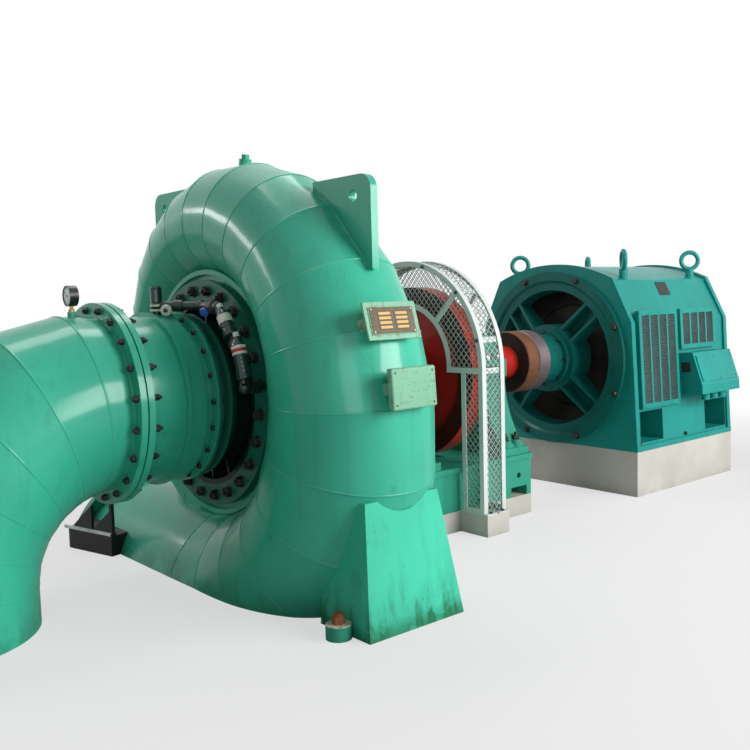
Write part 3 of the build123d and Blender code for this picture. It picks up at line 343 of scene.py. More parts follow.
class Finish:
    """The nodes of a material or of the room light, and the one way in which they are made."""

    def __init__(self, owner, shader="ShaderNodeBsdfPrincipled", output="ShaderNodeOutputMaterial"):
        owner.use_nodes = True
        self.owner = owner
        self.tree = owner.node_tree
        self.tree.nodes.clear()
        self.tone = None
        self.shader = self.node(shader)
        self.output = self.node(output, None, {0: self.shader})

    def node(self, kind, settings=None, sockets=None, output=0):
        """A node of that type, with its settings, then its sockets."""
        node = self.tree.nodes.new(kind)
        for key, value in (settings or {}).items():
            setattr(node, key, value)
        for key, value in (sockets or {}).items():
            self.feed(node.inputs[key], value)
        return Shade(self, node, output)

    def feed(self, socket, value):
        """Link a socket to a shade, or set it to a plain value."""
        if isinstance(value, Shade):
            self.tree.links.new(value.socket, socket)
        elif socket.type == "RGBA":
            socket.default_value = (*value[:3], 1.0)
        else:
            socket.default_value = value

    def set(self, **values):
        """Set the shader's own sockets; an underscore stands for a space."""
        for key, value in values.items():
            self.feed(self.shader.node.inputs[key.replace("_", " ")], value)

    def place(self):
        """Position on the set, in metres."""
        return self.node("ShaderNodeTexCoord", output=3)

    def axis(self, index):
        """One coordinate of the position."""
        return self.node("ShaderNodeSeparateXYZ", None, {0: self.place()}, index)

    def from_shaft(self):
        """Distance from the shaft line."""
        across = self.axis(1)
        up = self.axis(2) - SHAFT_Z
        return (across * across + up * up) ** 0.5

    def noise(self, scale, detail=3.0, rough=0.55, where=None):
        """Cloudy value between 0 and 1."""
        sockets = {"Vector": where or self.place(), "Scale": scale, "Detail": detail, "Roughness": rough}
        return self.node("ShaderNodeTexNoise", None, sockets)

    def streaks(self, scale, detail, rough):
        """Cloudy value that is scaled along the axes."""
        where = self.node("ShaderNodeVectorMath", {"operation": "MULTIPLY"}, {0: self.place(), 1: scale})
        return self.noise(1.0, detail, rough, where)

    def cells(self, scale):
        """Distance to the nearest of scattered points."""
        return self.node("ShaderNodeTexVoronoi", None, {"Vector": self.place(), "Scale": scale})

    def mix(self, factor, first, second):
        """Colour between two colours."""
        settings = {"data_type": "RGBA", "blend_type": "MIX", "clamp_factor": True}
        return self.node("ShaderNodeMix", settings, {0: factor, 6: first, 7: second}, 2)

    def drift(self, cloud, soft, base, low, high):
        """Start the finish's tone, between a darker and a lighter version of a colour."""
        self.tone = self.mix(cloud.above(0.5, soft), shade_of(base, low), shade_of(base, high))

    def tint(self, share, colour):
        """Lay another colour over the tone."""
        self.tone = self.mix(share, self.tone, colour)

    def bump(self, height, strength, distance):
        """Surface relief from a height."""
        sockets = {"Strength": strength, "Distance": distance, "Height": height}
        self.set(Normal=self.node("ShaderNodeBump", None, sockets))

    def ray(self, *kinds):
        """1 for rays of the kinds that are named, such as Camera or Glossy."""
        return sum(self.node("ShaderNodeLightPath", output="Is " + kind + " Ray") for kind in kinds)


def new_finish(name):
    """Nodes of a new material of the set."""
    return Finish(bpy.data.materials.new("hydro_" + name))


def shade_of(base, share):
    """A lighter or darker version of a colour."""
    return tuple(min(1.0, channel * share) for channel in base)


def sprayed_paint(name, base, paint, gloss, coat, cast, dirt, chips, marks=None):
    """Sprayed gloss paint with drifted colour, run marks, chips down to primer, and floor dirt."""
    finish = new_finish(name)
    finish.drift(finish.noise(1.7, 4.0), 0.24, base, 0.86, 1.10)
    streak = finish.streaks((24.0, 24.0, 1.2), 5.0, 0.6).above(0.60, 0.10)
    finish.tint(streak * 0.30, shade_of(base, 0.66))
    blotch = finish.noise(8.0, 6.0, 0.62)
    low = finish.axis(2).below(0.07, 0.09) * blotch.above(0.44, 0.12)
    grime = (low * 0.8 + blotch.above(0.68, 0.07) * 0.45) * dirt
    finish.tint(grime, paint.grime)
    chip = finish.noise(46.0, 3.0, 0.6).above(0.735, 0.012) * finish.noise(3.1, 2.0).above(0.54, 0.06)
    finish.tint(chip * chips, paint.rust)
    pale = finish.noise(60.0, 2.0).above(0.74, 0.02) * blotch.above(0.5, 0.1)
    finish.tint(pale * chips * 0.6, shade_of(base, 1.9))
    if marks:
        marks(finish, paint)
    finish.set(Base_Color=finish.tone, Roughness=gloss + 0.20 * blotch + 0.3 * grime,
               Specular_IOR_Level=PAINT_SHINE, Coat_Weight=coat, Coat_Roughness=COAT_ROUGHNESS)
    peel = finish.noise(150.0, 2.0)
    grain = finish.noise(34.0, 5.0, 0.65)
    finish.bump(peel * 0.10 + grain * (0.08 + cast) - chip * 0.4, 0.5, 0.0016)


def shaded_sooty_recess(finish, _):
    """Painted shade, with oil and soot, in the recess round the neck and on the neck's root."""
    inside = finish.from_shaft().below(RECESS_R + 0.001, 0.0005) * finish.axis(0).above(NECK_ROOT_X, 0.03)
    # painted shade and soot: near black inside the recess radius, behind the neck's root
    finish.tint(inside * 0.92, SOOT_AND_SHADE)


def scratched_lid(finish, paint):
    """Scratches and brown stains on the hatch and the plate."""
    scratch = finish.streaks((30.0, 30.0, 95.0), 5.0, 0.7).above(0.60, 0.03)
    stain = finish.noise(22.0, 5.0, 0.7).above(0.60, 0.05)
    finish.tint((scratch * 0.5 + stain * 0.5) * 0.8, shade_of(paint.rust, 0.7))


def limed_boss(finish, paint):
    """Pale mortar on top of an anchor boss and rust up its stud."""
    height = finish.axis(2)
    spots = finish.noise(45.0, 4.0)
    finish.tint(height.above(BOSS_MORTAR_Z, 0.0008) * spots.above(0.38, 0.1), srgb(214, 206, 186))
    finish.tint(height.above(BOSS_STUD_Z, 0.001), paint.rust)


def stained_leg(finish, paint):
    """Moss and dirt along the foot of the leg, with runs above it and dark specks."""
    height = finish.axis(2)
    runs = finish.streaks((26.0, 26.0, 3.0), 4.0, 0.6)
    foot = height.below(0.035, 0.03) + height.below(0.11, 0.09) * runs.above(0.52, 0.08)
    finish.tint(foot * finish.noise(18.0, 5.0, 0.7).above(0.42, 0.12) * 0.75, srgb(30, 110, 74))
    specks = finish.cells(16.0).below(0.055, 0.02) * finish.noise(2.6, 2.0).above(0.47, 0.05)
    finish.tint(specks * 0.8, paint.grime)


def shaded_wheel_rim(finish, _):
    """Painted shade on the wheel's faces, outside the guard's opening."""
    radius = finish.from_shaft()
    rim_shade = radius.above(WHEEL_SHADE_R, 0.03) * radius.below(WHEEL_R - 0.001, 0.0005)
    # painted shade, near black and patchy, between the shade radius and the wheel's edge
    finish.tint(rim_shade * (0.75 + 0.2 * finish.noise(9.0, 4.0)), SOOT_AND_SHADE)


def bare_metal(name, base, rough, paint, rust, marks=None):
    """Machined or rolled metal with turning marks, stains and rust."""
    finish = new_finish(name)
    blotch = finish.noise(11.0, 6.0, 0.62)
    finish.drift(finish.noise(3.0, 3.0), 0.2, base, 0.8, 1.15)
    finish.tint(blotch.above(0.60, 0.14) * 0.45, shade_of(base, 0.45))
    rusty = finish.noise(30.0, 5.0, 0.68).above(0.62 - 0.3 * rust, 0.12) * rust
    finish.tint(rusty, paint.rust)
    if marks:
        marks(finish, paint)
    lathe = finish.streaks((420.0, 14.0, 14.0), 2.0, 0.5)
    finish.set(Base_Color=finish.tone, Metallic=0.75 - 0.7 * rusty,
               Roughness=rough + 0.25 * blotch + 0.3 * rusty)
    finish.bump(lathe * 0.35 + rusty * 0.6 + blotch * 0.2, 0.4, 0.0009)


def shaded_coupling_face(finish, _):
    """Painted shade, near black, on the flat faces of a coupling half, up to its broken edge."""
    # painted shade inside the edge radius
    finish.tint(finish.from_shaft().below(COUPLING_EDGE_R, 0.0008) * 0.93, SOOT_AND_SHADE)


def plain_coat(name, base, rough, worn, scale, marks=None):
    """Dull coat with scuffs and dust, for black iron, plastics, rubber and dark cores."""
    finish = new_finish(name)
    cloud = finish.noise(6.0, 5.0, 0.6)
    scuff = finish.noise(scale, 4.0, 0.65).above(0.63, 0.08)
    finish.drift(cloud, 0.2, base, 0.75, 1.3)
    finish.tint(scuff * worn, tuple(0.35 * channel + 0.10 for channel in base))
    if marks:
        marks(finish, None)
    finish.set(Base_Color=finish.tone, Roughness=rough + 0.2 * cloud + 0.1 * scuff)
    finish.bump(scuff * 0.3 + finish.noise(scale * 3, 2.0) * 0.4, 0.4, 0.0008)


def core_slots(finish, _):
    """Laminations of the core, seen as fine rings across the shaft."""
    finish.tint(finish.streaks((300.0, 4.0, 4.0), 1.0, 0.5).above(0.52, 0.06) * 0.5, srgb(58, 48, 42))


def cast_concrete(name, base):
    """Smooth concrete with pits, damp edges and form marks."""
    finish = new_finish(name)
    cloud = finish.noise(2.4, 6.0, 0.6)
    finish.drift(cloud, 0.25, base, 0.86, 1.10)
    damp = finish.axis(2).below(0.03, 0.05) * finish.noise(9.0, 5.0).above(0.42, 0.15)
    finish.tint(damp * 0.4, shade_of(base, 0.5))
    pits = finish.cells(38.0).below(0.10, 0.05) * finish.noise(5.0, 2.0).above(0.5, 0.1)
    finish.tint(pits * 0.6, shade_of(base, 0.5))
    finish.set(Base_Color=finish.tone, Roughness=0.78 + 0.15 * cloud)
    finish.bump(finish.noise(240.0, 3.0) * 0.4 - pits * 1.2 + cloud * 0.3, 0.6, 0.0018)


def brass_and_green(name, green, brass):
    """Painted boss with a brass stem above it."""
    finish = new_finish(name)
    stem = finish.axis(2).above(STEM_FOOT_Z, 0.0003)
    cloud = finish.noise(60.0, 4.0)
    finish.drift(cloud, 0.2, brass, 0.7, 1.1)
    finish.tint(1 - stem, shade_of(green, 0.8))
    finish.set(Base_Color=finish.tone, Metallic=stem * 0.8, Roughness=0.28 + 0.2 * cloud)
    finish.bump(cloud, 0.3, 0.0006)


# Name, colour, roughness, rust, marks
BARE_METALS = (
    ("rusty_nut", (150, 118, 88), 0.50, 0.90),
    ("coupling_brown", (112, 80, 58), 0.50, 0.45, shaded_coupling_face),
    ("coupling_grey", (126, 112, 118), 0.40, 0.12, shaded_coupling_face),
    ("bright_steel", (172, 174, 174), 0.28, 0.05),
    ("brass", BRASS, 0.42, 0.0),
)
# Name, colour, roughness, wear, scale of the scuffs, marks
PLAIN_COATS = (
    ("black_bolt", (22, 23, 22), 0.42, 0.20, 90.0),
    ("black_iron", (20, 21, 20), 0.50, 0.25, 40.0),
    ("gasket", (18, 18, 18), 0.70, 0.20, 40.0),
    ("gauge_case", (22, 22, 23), 0.25, 0.10, 40.0),
    ("dial", (244, 246, 247), 0.30, 0.03, 14.0),
    ("core_dark", (24, 20, 18), 0.60, 0.20, 40.0, core_slots),
    ("pipe_green", (14, 38, 30), 0.30, 0.20, 40.0),
    ("bowl_teal", (30, 58, 56), 0.10, 0.25, 60.0),
    ("white_plastic", (222, 222, 214), 0.34, 0.12, 40.0),
    ("blue_plastic", (38, 104, 196), 0.30, 0.10, 40.0),
    ("red_plastic", (176, 44, 44), 0.34, 0.12, 40.0),
    ("plate_dark", (52, 50, 46), 0.45, 0.40, 60.0),
    ("plate_yellow", (196, 150, 50), 0.40, 0.25, 90.0),
    ("gauze_grey", (60, 70, 70), 0.55, 0.20, 40.0),
    # painted light: the bench's edge bar is near white, for the light along it
    ("steel_edge", (226, 230, 228), 0.35, 0.20, 40.0),
)


def finishes():
    """Every finish of the set, made once."""
    if "hydro_turbine_green" in bpy.data.materials:
        return bpy.data.materials
    paint = bpy.context.scene.hydro_paint
    green = paint.turbine
    teal = paint.generator
    # Name, colour, roughness, coat, cast grain, dirt, chips, marks
    for name, base, *look in (
            ("turbine_green", green, 0.22, 0.36, 0.0, 0.5, 0.5),
            # painted light: the leg is a lighter copy of the turbine green, for the strong light on its front
            ("leg_green", shade_of(green, 1.22), 0.36, 0.2, 0.0, 0.4, 0.8, stained_leg),
            # painted shade: the cover ring is a darker copy of the turbine green
            ("cover_green", shade_of(green, 0.4), 0.28, 0.2, 0.0, 0.5, 0.5, shaded_sooty_recess),
            ("hatch_green", srgb(122, 178, 148), 0.40, 0.1, 0.0, 0.9, 1.0, scratched_lid),
            ("cast_green", shade_of(green, 0.62), 0.36, 0.2, 0.8, 0.9, 0.9),
            ("boss_green", shade_of(green, 0.7), 0.40, 0.2, 0.4, 0.5, 0.9, limed_boss),
            ("generator_teal", teal, 0.30, 0.2, 0.2, 0.6, 0.5),
            # painted shade: the end brackets are a darker copy of the generator teal
            ("bracket_teal", shade_of(teal, 0.5), 0.40, 0.2, 0.6, 0.8, 0.5),
            ("shaft_red", paint.wheel, 0.34, 0.2, 0.3, 0.6, 0.6),
            ("wheel_red", paint.wheel, 0.34, 0.2, 0.3, 0.6, 0.6, shaded_wheel_rim),
            ("plate_brown", srgb(110, 102, 84), 0.46, 0.0, 0.0, 1.0, 1.0, scratched_lid),
            ("guard_white", paint.guard, 0.38, 0.2, 0.0, 0.7, 0.9),
            ("wire_grey", paint.wire, 0.45, 0.2, 0.0, 0.5, 0.8)):
        sprayed_paint(name, base, paint, *look)
    for name, base, rough, *look in BARE_METALS:
        bare_metal(name, srgb(*base), rough, paint, *look)
    brass_and_green("gauge_stem", green, srgb(*BRASS))
    for name, base, *look in PLAIN_COATS:
        plain_coat(name, srgb(*base), *look)
    cast_concrete("concrete", paint.concrete)
    return bpy.data.materials


def dress(**nodes_of):
    """Give each finish to the CAD nodes that are listed for it."""
    for finish, nodes in nodes_of.items():
        for name in nodes.split():
            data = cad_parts[name].data
            data.materials.clear()
            data.materials.append(finishes()["hydro_" + finish])


def piece(name, mesh, finish, body="set", smooth=35.0):
    """Turn a built mesh into a piece that rides on a body."""
    data = bpy.data.meshes.new(name)
    bmesh.ops.recalc_face_normals(mesh, faces=mesh.faces)
    mesh.to_mesh(data)
    mesh.free()
    for face in data.polygons:
        face.use_smooth = True
    data.set_sharp_from_angle(angle=radians(smooth))
    data.materials.append(finishes()["hydro_" + finish])
    made = bpy.data.objects.new(name, data)
    bpy.context.scene.collection.objects.link(made)
    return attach(made, body)


def facing(point, direction, spin=0.0):
    """Place with its Z along a direction."""
    turn = Vector(direction).to_track_quat("Z", "Y").to_matrix().to_4x4()
    return Matrix.Translation(point) @ turn @ Matrix.Rotation(spin, 4, "Z")


def on_axes(point, right, ahead, out):
    """Place with its X, Y and Z along three directions."""
    turn = Matrix((right, ahead, out)).transposed().to_4x4()
    return Matrix.Translation(point) @ turn


def turned_form(mesh, place, profile, sides=28):
    """Closed form turned about a place's Z axis from (radius, height) points."""
    turns = [2 * pi * i / sides for i in range(sides)]
    rings = []
    for radius, height in profile:
        points = [Vector((radius * cos(turn), radius * sin(turn), height)) for turn in turns]
        rings.append([mesh.verts.new(place @ point) for point in points])
    for low, high in zip(rings[:-1], rings[1:]):
        for i in range(sides):
            mesh.faces.new((low[i], low[i - 1], high[i - 1], high[i]))
    mesh.faces.new(rings[0])
    mesh.faces.new(rings[-1])


def band(mesh, place, inner, outer, low, high, lip=0.001, sides=28):
    """Raised band with sloped lips."""
    turned_form(mesh, place, ((inner, low), (outer, low + lip), (outer, high - lip), (inner, high)), sides)


def hex_bolt(mesh, place, width, head=0.62, washer=True, stud=0.0):
    """Six-sided head or nut with a crowned top, on a washer, with an optional stud end."""
    radius = width / sqrt(3)
    base = 0.0
    if washer:
        base = width * 0.09
        wide = width * 0.70
        turned_form(mesh, place, ((wide, 0.0), (wide, base * 0.7), (wide * 0.95, base)), 20)
    top = base + width * head
    turned_form(mesh, place, ((radius, base), (radius, top - width * 0.10), (radius * 0.88, top)), 6)
    if stud:
        shank = width * 0.29
        end = ((shank, top - 0.001), (shank, top + stud * 0.85), (shank * 0.7, top + stud))
        turned_form(mesh, place, end, 12)


def bolt_ring(mesh, number, radius, x, out, width, start=0.0, **kind):
    """Bolts round the shaft line, on a face at x that looks along +X or -X."""
    for i in range(number):
        turn = start + 2 * pi * i / number
        point = Vector((x, radius * cos(turn), SHAFT_Z + radius * sin(turn)))
        hex_bolt(mesh, facing(point, (out, 0, 0), turn * 1.7), width, **kind)


def screw(mesh, place, radius):
    """Round-headed screw."""
    dome = ((radius, 0.0), (radius * 0.92, radius * 0.4), (radius * 0.5, radius * 0.62))
    turned_form(mesh, place, dome, 14)


def corner_screws(mesh, face, half_x, half_y, height, radius):
    """Screws in the four corners of a face."""
    for x, y in product((-half_x, half_x), (-half_y, half_y)):
        screw(mesh, face @ Matrix.Translation((x, y, height)), radius)


def block(mesh, place, size, bevel):
    """Block with bevelled edges, its foot on the place."""
    lifted = place @ Matrix.Translation((0, 0, size[2] / 2))
    made = bmesh.ops.create_cube(mesh, size=1.0, matrix=lifted @ Matrix.Diagonal((*size, 1.0)))
    edges = {edge for vert in made["verts"] for edge in vert.link_edges}
    bmesh.ops.bevel(mesh, geom=list(edges), offset=bevel, segments=2, affect="EDGES")


def swung_frames(middle, first, second, along, wide, tall, swings):
    """(point, out, along) frames on an oval that lies on two directions."""
    frames = []
    for swing in swings:
        out = first * cos(swing) + second * sin(swing)
        point = middle + first * (wide * cos(swing)) + second * (tall * sin(swing))
        frames.append((point, out, along))
    return frames


def weld_bead(mesh, frames, sizes, closed):
    """Half-round bead with small ripples along (point, out, along) frames."""
    rings = []
    for number, (point, out, along) in enumerate(frames):
        ripple = sizes.bead_height * (1.0 + 0.18 * sin(number * 2.4) + 0.1 * sin(number * 0.71))
        ring = [mesh.verts.new(point - out * sizes.bead_height)]
        for i in range(5):
            turn = pi * i / 4
            swell = out * (ripple * sin(turn)) + along * (sizes.bead_width / 2 * cos(turn))
            ring.append(mesh.verts.new(point + swell))
        rings.append(ring)
    pairs = list(zip(rings[:-1], rings[1:]))
    if closed:
        pairs.append((rings[-1], rings[0]))
    for first, second in pairs:
        for i in range(6):
            mesh.faces.new((first[i - 1], first[i], second[i], second[i - 1]))
    if not closed:
        mesh.faces.new(rings[0])
        mesh.faces.new(rings[-1])


def wire(mesh, start, end, normal, width, thick):
    """Flat wire between two points."""
    path = (end - start).normalized()
    side = normal.cross(path).normalized() * (width / 2)
    lift = normal * (thick / 2)
    corners = ((-1, -1), (1, -1), (1, 1), (-1, 1))
    ends = [[mesh.verts.new(point + a * side + b * lift) for a, b in corners] for point in (start, end)]
    for i in range(4):
        mesh.faces.new((ends[0][i - 1], ends[0][i], ends[1][i], ends[1][i - 1]))
    mesh.faces.new(ends[0])
    mesh.faces.new(ends[1])


def lattice_runs(inside, low, high, pitch):
    """Start and end of each slanted wire that lies inside a flat outline."""
    corners = [Vector(corner) for corner in product((low[0], high[0]), (low[1], high[1]))]
    for sign in (-1, 1):
        along = Vector((cos(WIRE_SLOPE), sign * sin(WIRE_SLOPE)))
        across = Vector((-along.y, along.x))
        offsets = [corner.dot(across) for corner in corners]
        reaches = [corner.dot(along) for corner in corners]
        steps = int((max(reaches) - min(reaches)) / WIRE_STEP) + 2
        for i in range(int((max(offsets) - min(offsets)) / pitch)):
            base = across * (min(offsets) + (i + 0.5) * pitch) + along * min(reaches)
            run = None
            for k in range(steps):
                point = base + along * (k * WIRE_STEP)
                if inside(point.x, point.y):
                    run = (run[0], point) if run else (point, point)
                elif run:
                    if (run[1] - run[0]).length > WIRE_STEP:
                        yield run
                    run = None


def lattice(mesh, inside, low, high, sizes, place, part=inf):
    """Wires inside a flat outline, cut into parts and laid by a function from a flat point to space."""
    for start, end in lattice_runs(inside, low, high, sizes.wire_pitch):
        parts = max(1, int(abs(end.x - start.x) / part))
        for k in range(parts):
            first, away = place(start.lerp(end, k / parts))
            last, _ = place(start.lerp(end, (k + 1) / parts))
            wire(mesh, first, last, away, sizes.wire_width, WIRE_THICK)


def tube_r(angle):
    """Radius of the spiral tube."""
    return max(TUBE_INLET_R - TUBE_TAPER * angle, TUBE_TAIL_R)


def tube_centre_r(angle):
    """Distance of the tube's centre from the shaft."""
    return STAY_RING_R + sqrt(tube_r(angle) ** 2 - STAY_RING_HALF ** 2)


def case_axes(angle):
    """Outward and forward directions of the tube; the angle counts from the bottom to the leg side."""
    turn = radians(angle)
    return Vector((0, -sin(turn), -cos(turn))), Vector((0, -cos(turn), sin(turn)))


def on_case(angle, x, out):
    """Place outside the case, with its Z away from the shaft and its Y forward round the tube."""
    away, ahead = case_axes(angle)
    reach = tube_centre_r(angle) + tube_r(angle) + out
    return on_axes(SHAFT_LINE + ALONG * x + away * reach, ALONG, ahead, away)


def gore_point(angle, x):
    """Point on the outside of a straight gore, between its two seams."""
    first = GORE_DEG * int(angle / GORE_DEG)
    ends = []
    for seam in (first, first + GORE_DEG):
        away, _ = case_axes(seam)
        reach = tube_centre_r(seam) + sqrt(tube_r(seam) ** 2 - x ** 2)
        ends.append(SHAFT_LINE + ALONG * x + away * reach)
    return ends[0].lerp(ends[1], (angle - first) / GORE_DEG)


def on_side(x, up, out):
    """Place on the terminal side of the generator, its Y up the leaning side and its Z outwards."""
    long = hypot(SIDE_H, SIDE_LEAN)
    rise = Vector((0, SIDE_LEAN, SIDE_H)) / long
    away = Vector((0, -SIDE_H, SIDE_LEAN)) / long
    return on_axes(Vector((x, SIDE_FOOT_Y, GEN_BASE_Z)) + rise * up + away * out, ALONG, rise, away)


class HYDRO_OT_turbine_finish(bpy.types.Operator):
    """Paint the turbine's CAD pieces"""
    bl_idname = "hydro.turbine_finish"
    bl_label = "Turbine finish"

    def execute(self, context):
        dress(turbine_green="spiral_case draft_cone elbow_flange draft_elbow lifting_lug_front "
                            "lifting_lug_rear crown_plug drive_cover",
              leg_green="case_leg", cover_green="head_cover_ring", hatch_green="side_hatch rating_plate",
              cast_green="inlet_flange", boss_green="anchor_bosses", black_iron="inlet_saddle",
              gasket="flange_gasket", gauge_stem="gauge_stem", gauge_case="pressure_gauge",
              pipe_green="seal_pipe")
        return {"FINISHED"}


class HYDRO_OT_shaft_line_finish(bpy.types.Operator):
    """Finish the bearings, the wheel, the coupling, the guard and the plinths"""
    bl_idname = "hydro.shaft_line_finish"
    bl_label = "Shaft line finish"

    def execute(self, context):
        dress(cast_green="bearing_base pedestal_turbine pedestal_generator", shaft_red="turbine_shaft",
              wheel_red="flywheel", coupling_brown="coupling_turbine", coupling_grey="coupling_generator",
              bright_steel="coupling_pins generator_shaft",
              guard_white="guard_frame_turbine guard_frame_generator guard_ties",
              wire_grey="guard_mesh_turbine guard_mesh_generator guard_rim_mesh guard_leg_mesh",
              concrete="bearing_plinth generator_plinth")
        return {"FINISHED"}


class HYDRO_OT_generator_finish(bpy.types.Operator):
    """Paint the generator's CAD pieces"""
    bl_idname = "hydro.generator_finish"
    bl_label = "Generator finish"

    def execute(self, context):
        dress(generator_teal="generator_frame lifting_eyes terminal_box air_grille_tall air_grille_short "
                             "rear_bearing_cap",
              bracket_teal="end_bracket_front end_bracket_rear", core_dark="stator_core generator_rotor")
        return {"FINISHED"}


class HYDRO_OT_weld_seams(bpy.types.Operator):
    """Weld beads along the mitre seams, round the flanges and at the roots of the lugs"""
    bl_idname = "hydro.weld_seams"
    bl_label = "Weld seams"

    def execute(self, context):
        sizes = context.scene.hydro_fasteners
        case = bmesh.new()
        for i in range(GORE_COUNT + 1):
            angle = i * GORE_DEG
            out, along = case_axes(angle)
            radius = tube_r(angle)
            reach = acos(-sqrt(radius ** 2 - STAY_RING_HALF ** 2) / radius)
            steps = int(radius * 2 * reach / BEAD_STEP)
            swings = [-reach + 2 * reach * k / steps for k in range(steps + 1)]
            middle = SHAFT_LINE + out * tube_centre_r(angle)
            frames = swung_frames(middle, out, ALONG, along, radius, radius, swings)
            frames = [spot for spot in frames if spot[0].z > BEAD_LOW_Z]
            if len(frames) > 2:
                weld_bead(case, frames, sizes, False)
        piece("case_welds", case, "turbine_green", smooth=60.0)
        lugs = bmesh.new()
        for node, turns in LUG_TURNS.items():
            low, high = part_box(node)
            for x, away in ((-LUG_HALF, -ALONG), (LUG_HALF, ALONG)):
                points = [gore_point(angle, x) for angle in turns]
                points = [p for p in points if low.y < p.y < high.y and low.z < p.z < high.z]
                frames = []
                for first, second in zip(points[:-1], points[1:]):
                    path = (second - first).normalized()
                    lift = path.cross(ALONG)
                    if lift.z < 0:
                        lift.negate()
                    out = (away + lift).normalized()
                    frames.append((first, out, path.cross(out)))
                weld_bead(lugs, frames, sizes, False)
        piece("lug_welds", lugs, "turbine_green", smooth=60.0)
        elbow = bmesh.new()
        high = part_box("draft_elbow")[1]
        bend = Vector((high.x - ELBOW_STRAIGHT, 0, SHAFT_Z - ELBOW_BEND_R))
        stretch = 1 / cos(radians(MITRE_DEG / 2))
        number = round(90 / MITRE_DEG)
        seams = []
        for i in range(number):
            turn = radians(MITRE_DEG * (i + 0.5))
            out = Vector((-sin(turn), 0, cos(turn)))
            along = Vector((-cos(turn), 0, -sin(turn)))
            radius = ELBOW_R + ELBOW_GROWTH * (i + 1) / number
            seams.append((bend + out * ELBOW_BEND_R * stretch, out, along, radius, radius * stretch))
        cone_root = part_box("flange_gasket")[1].x + CONE_FLANGE_T
        for x, radius in ((high.x - 0.001, ELBOW_R), (cone_root, CONE_R)):
            seams.append((SHAFT_LINE + ALONG * x, UP, ALONG, radius, radius))
        swings = [2 * pi * k / ROUND_STEPS for k in range(ROUND_STEPS)]
        for middle, out, along, wide, tall in seams:
            weld_bead(elbow, swung_frames(middle, ACROSS, out, along, wide, tall, swings), sizes, True)
        for vert in elbow.verts:
            vert.co.x = max(vert.co.x, CAD_BOX[0][0])
        piece("elbow_welds", elbow, "turbine_green", smooth=60.0)
        return {"FINISHED"}


class HYDRO_OT_turbine_bolts(bpy.types.Operator):
    """Studs, nuts and bolts of the turbine's flanges and covers"""
    bl_idname = "hydro.turbine_bolts"
    bl_label = "Turbine bolts"

    def execute(self, context):
        sizes = context.scene.hydro_fasteners
        low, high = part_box("elbow_flange")
        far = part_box("flange_gasket")[1].x + high.x - low.x
        start = pi / sizes.flange_bolts + FLANGE_TWIST
        studs = bmesh.new()
        for x, out, head, stud in ((low.x, -1, 0.6, 0.006), (far, 1, 1.2, 0.012)):
            bolt_ring(studs, sizes.flange_bolts, sizes.flange_circle, x, out, sizes.stud_nut, start,
                      head=head, washer=False, stud=stud)
        piece("draft_flange_studs", studs, "black_bolt")
        neck = bmesh.new()
        for x, out in zip(NECK_FLANGE_X, (-1, 1)):
            bolt_ring(neck, sizes.flange_bolts, sizes.neck_circle, x, out, NECK_BOLT, head=0.55, washer=False)
        piece("neck_flange_bolts", neck, "black_bolt")
        inlet = bmesh.new()
        front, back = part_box("inlet_flange")
        inlet_z = SHAFT_Z - tube_centre_r(0)
        circle = (back.x + TUBE_INLET_R) / 2 + 0.012
        for i in range(sizes.cover_bolts):
            turn = 2 * pi * (i + 0.5) / sizes.cover_bolts
            point = Vector((circle * cos(turn), front.y, inlet_z + circle * sin(turn)))
            if point.z > INLET_BOLT_LOW_Z:
                hex_bolt(inlet, facing(point, (0, -1, 0), turn), sizes.stud_nut, 0.6)
        piece("inlet_flange_bolts", inlet, "black_bolt")
        for name, x, out in (("head_cover_bolts", COVER_FACE_X, -1), ("drive_cover_bolts", DRIVE_FACE_X, 1)):
            mesh = bmesh.new()
            bolt_ring(mesh, sizes.cover_bolts, sizes.cover_circle, x, out, sizes.large_bolt,
                      pi / sizes.cover_bolts, stud=0.008)
            piece(name, mesh, "black_bolt")
        return {"FINISHED"}


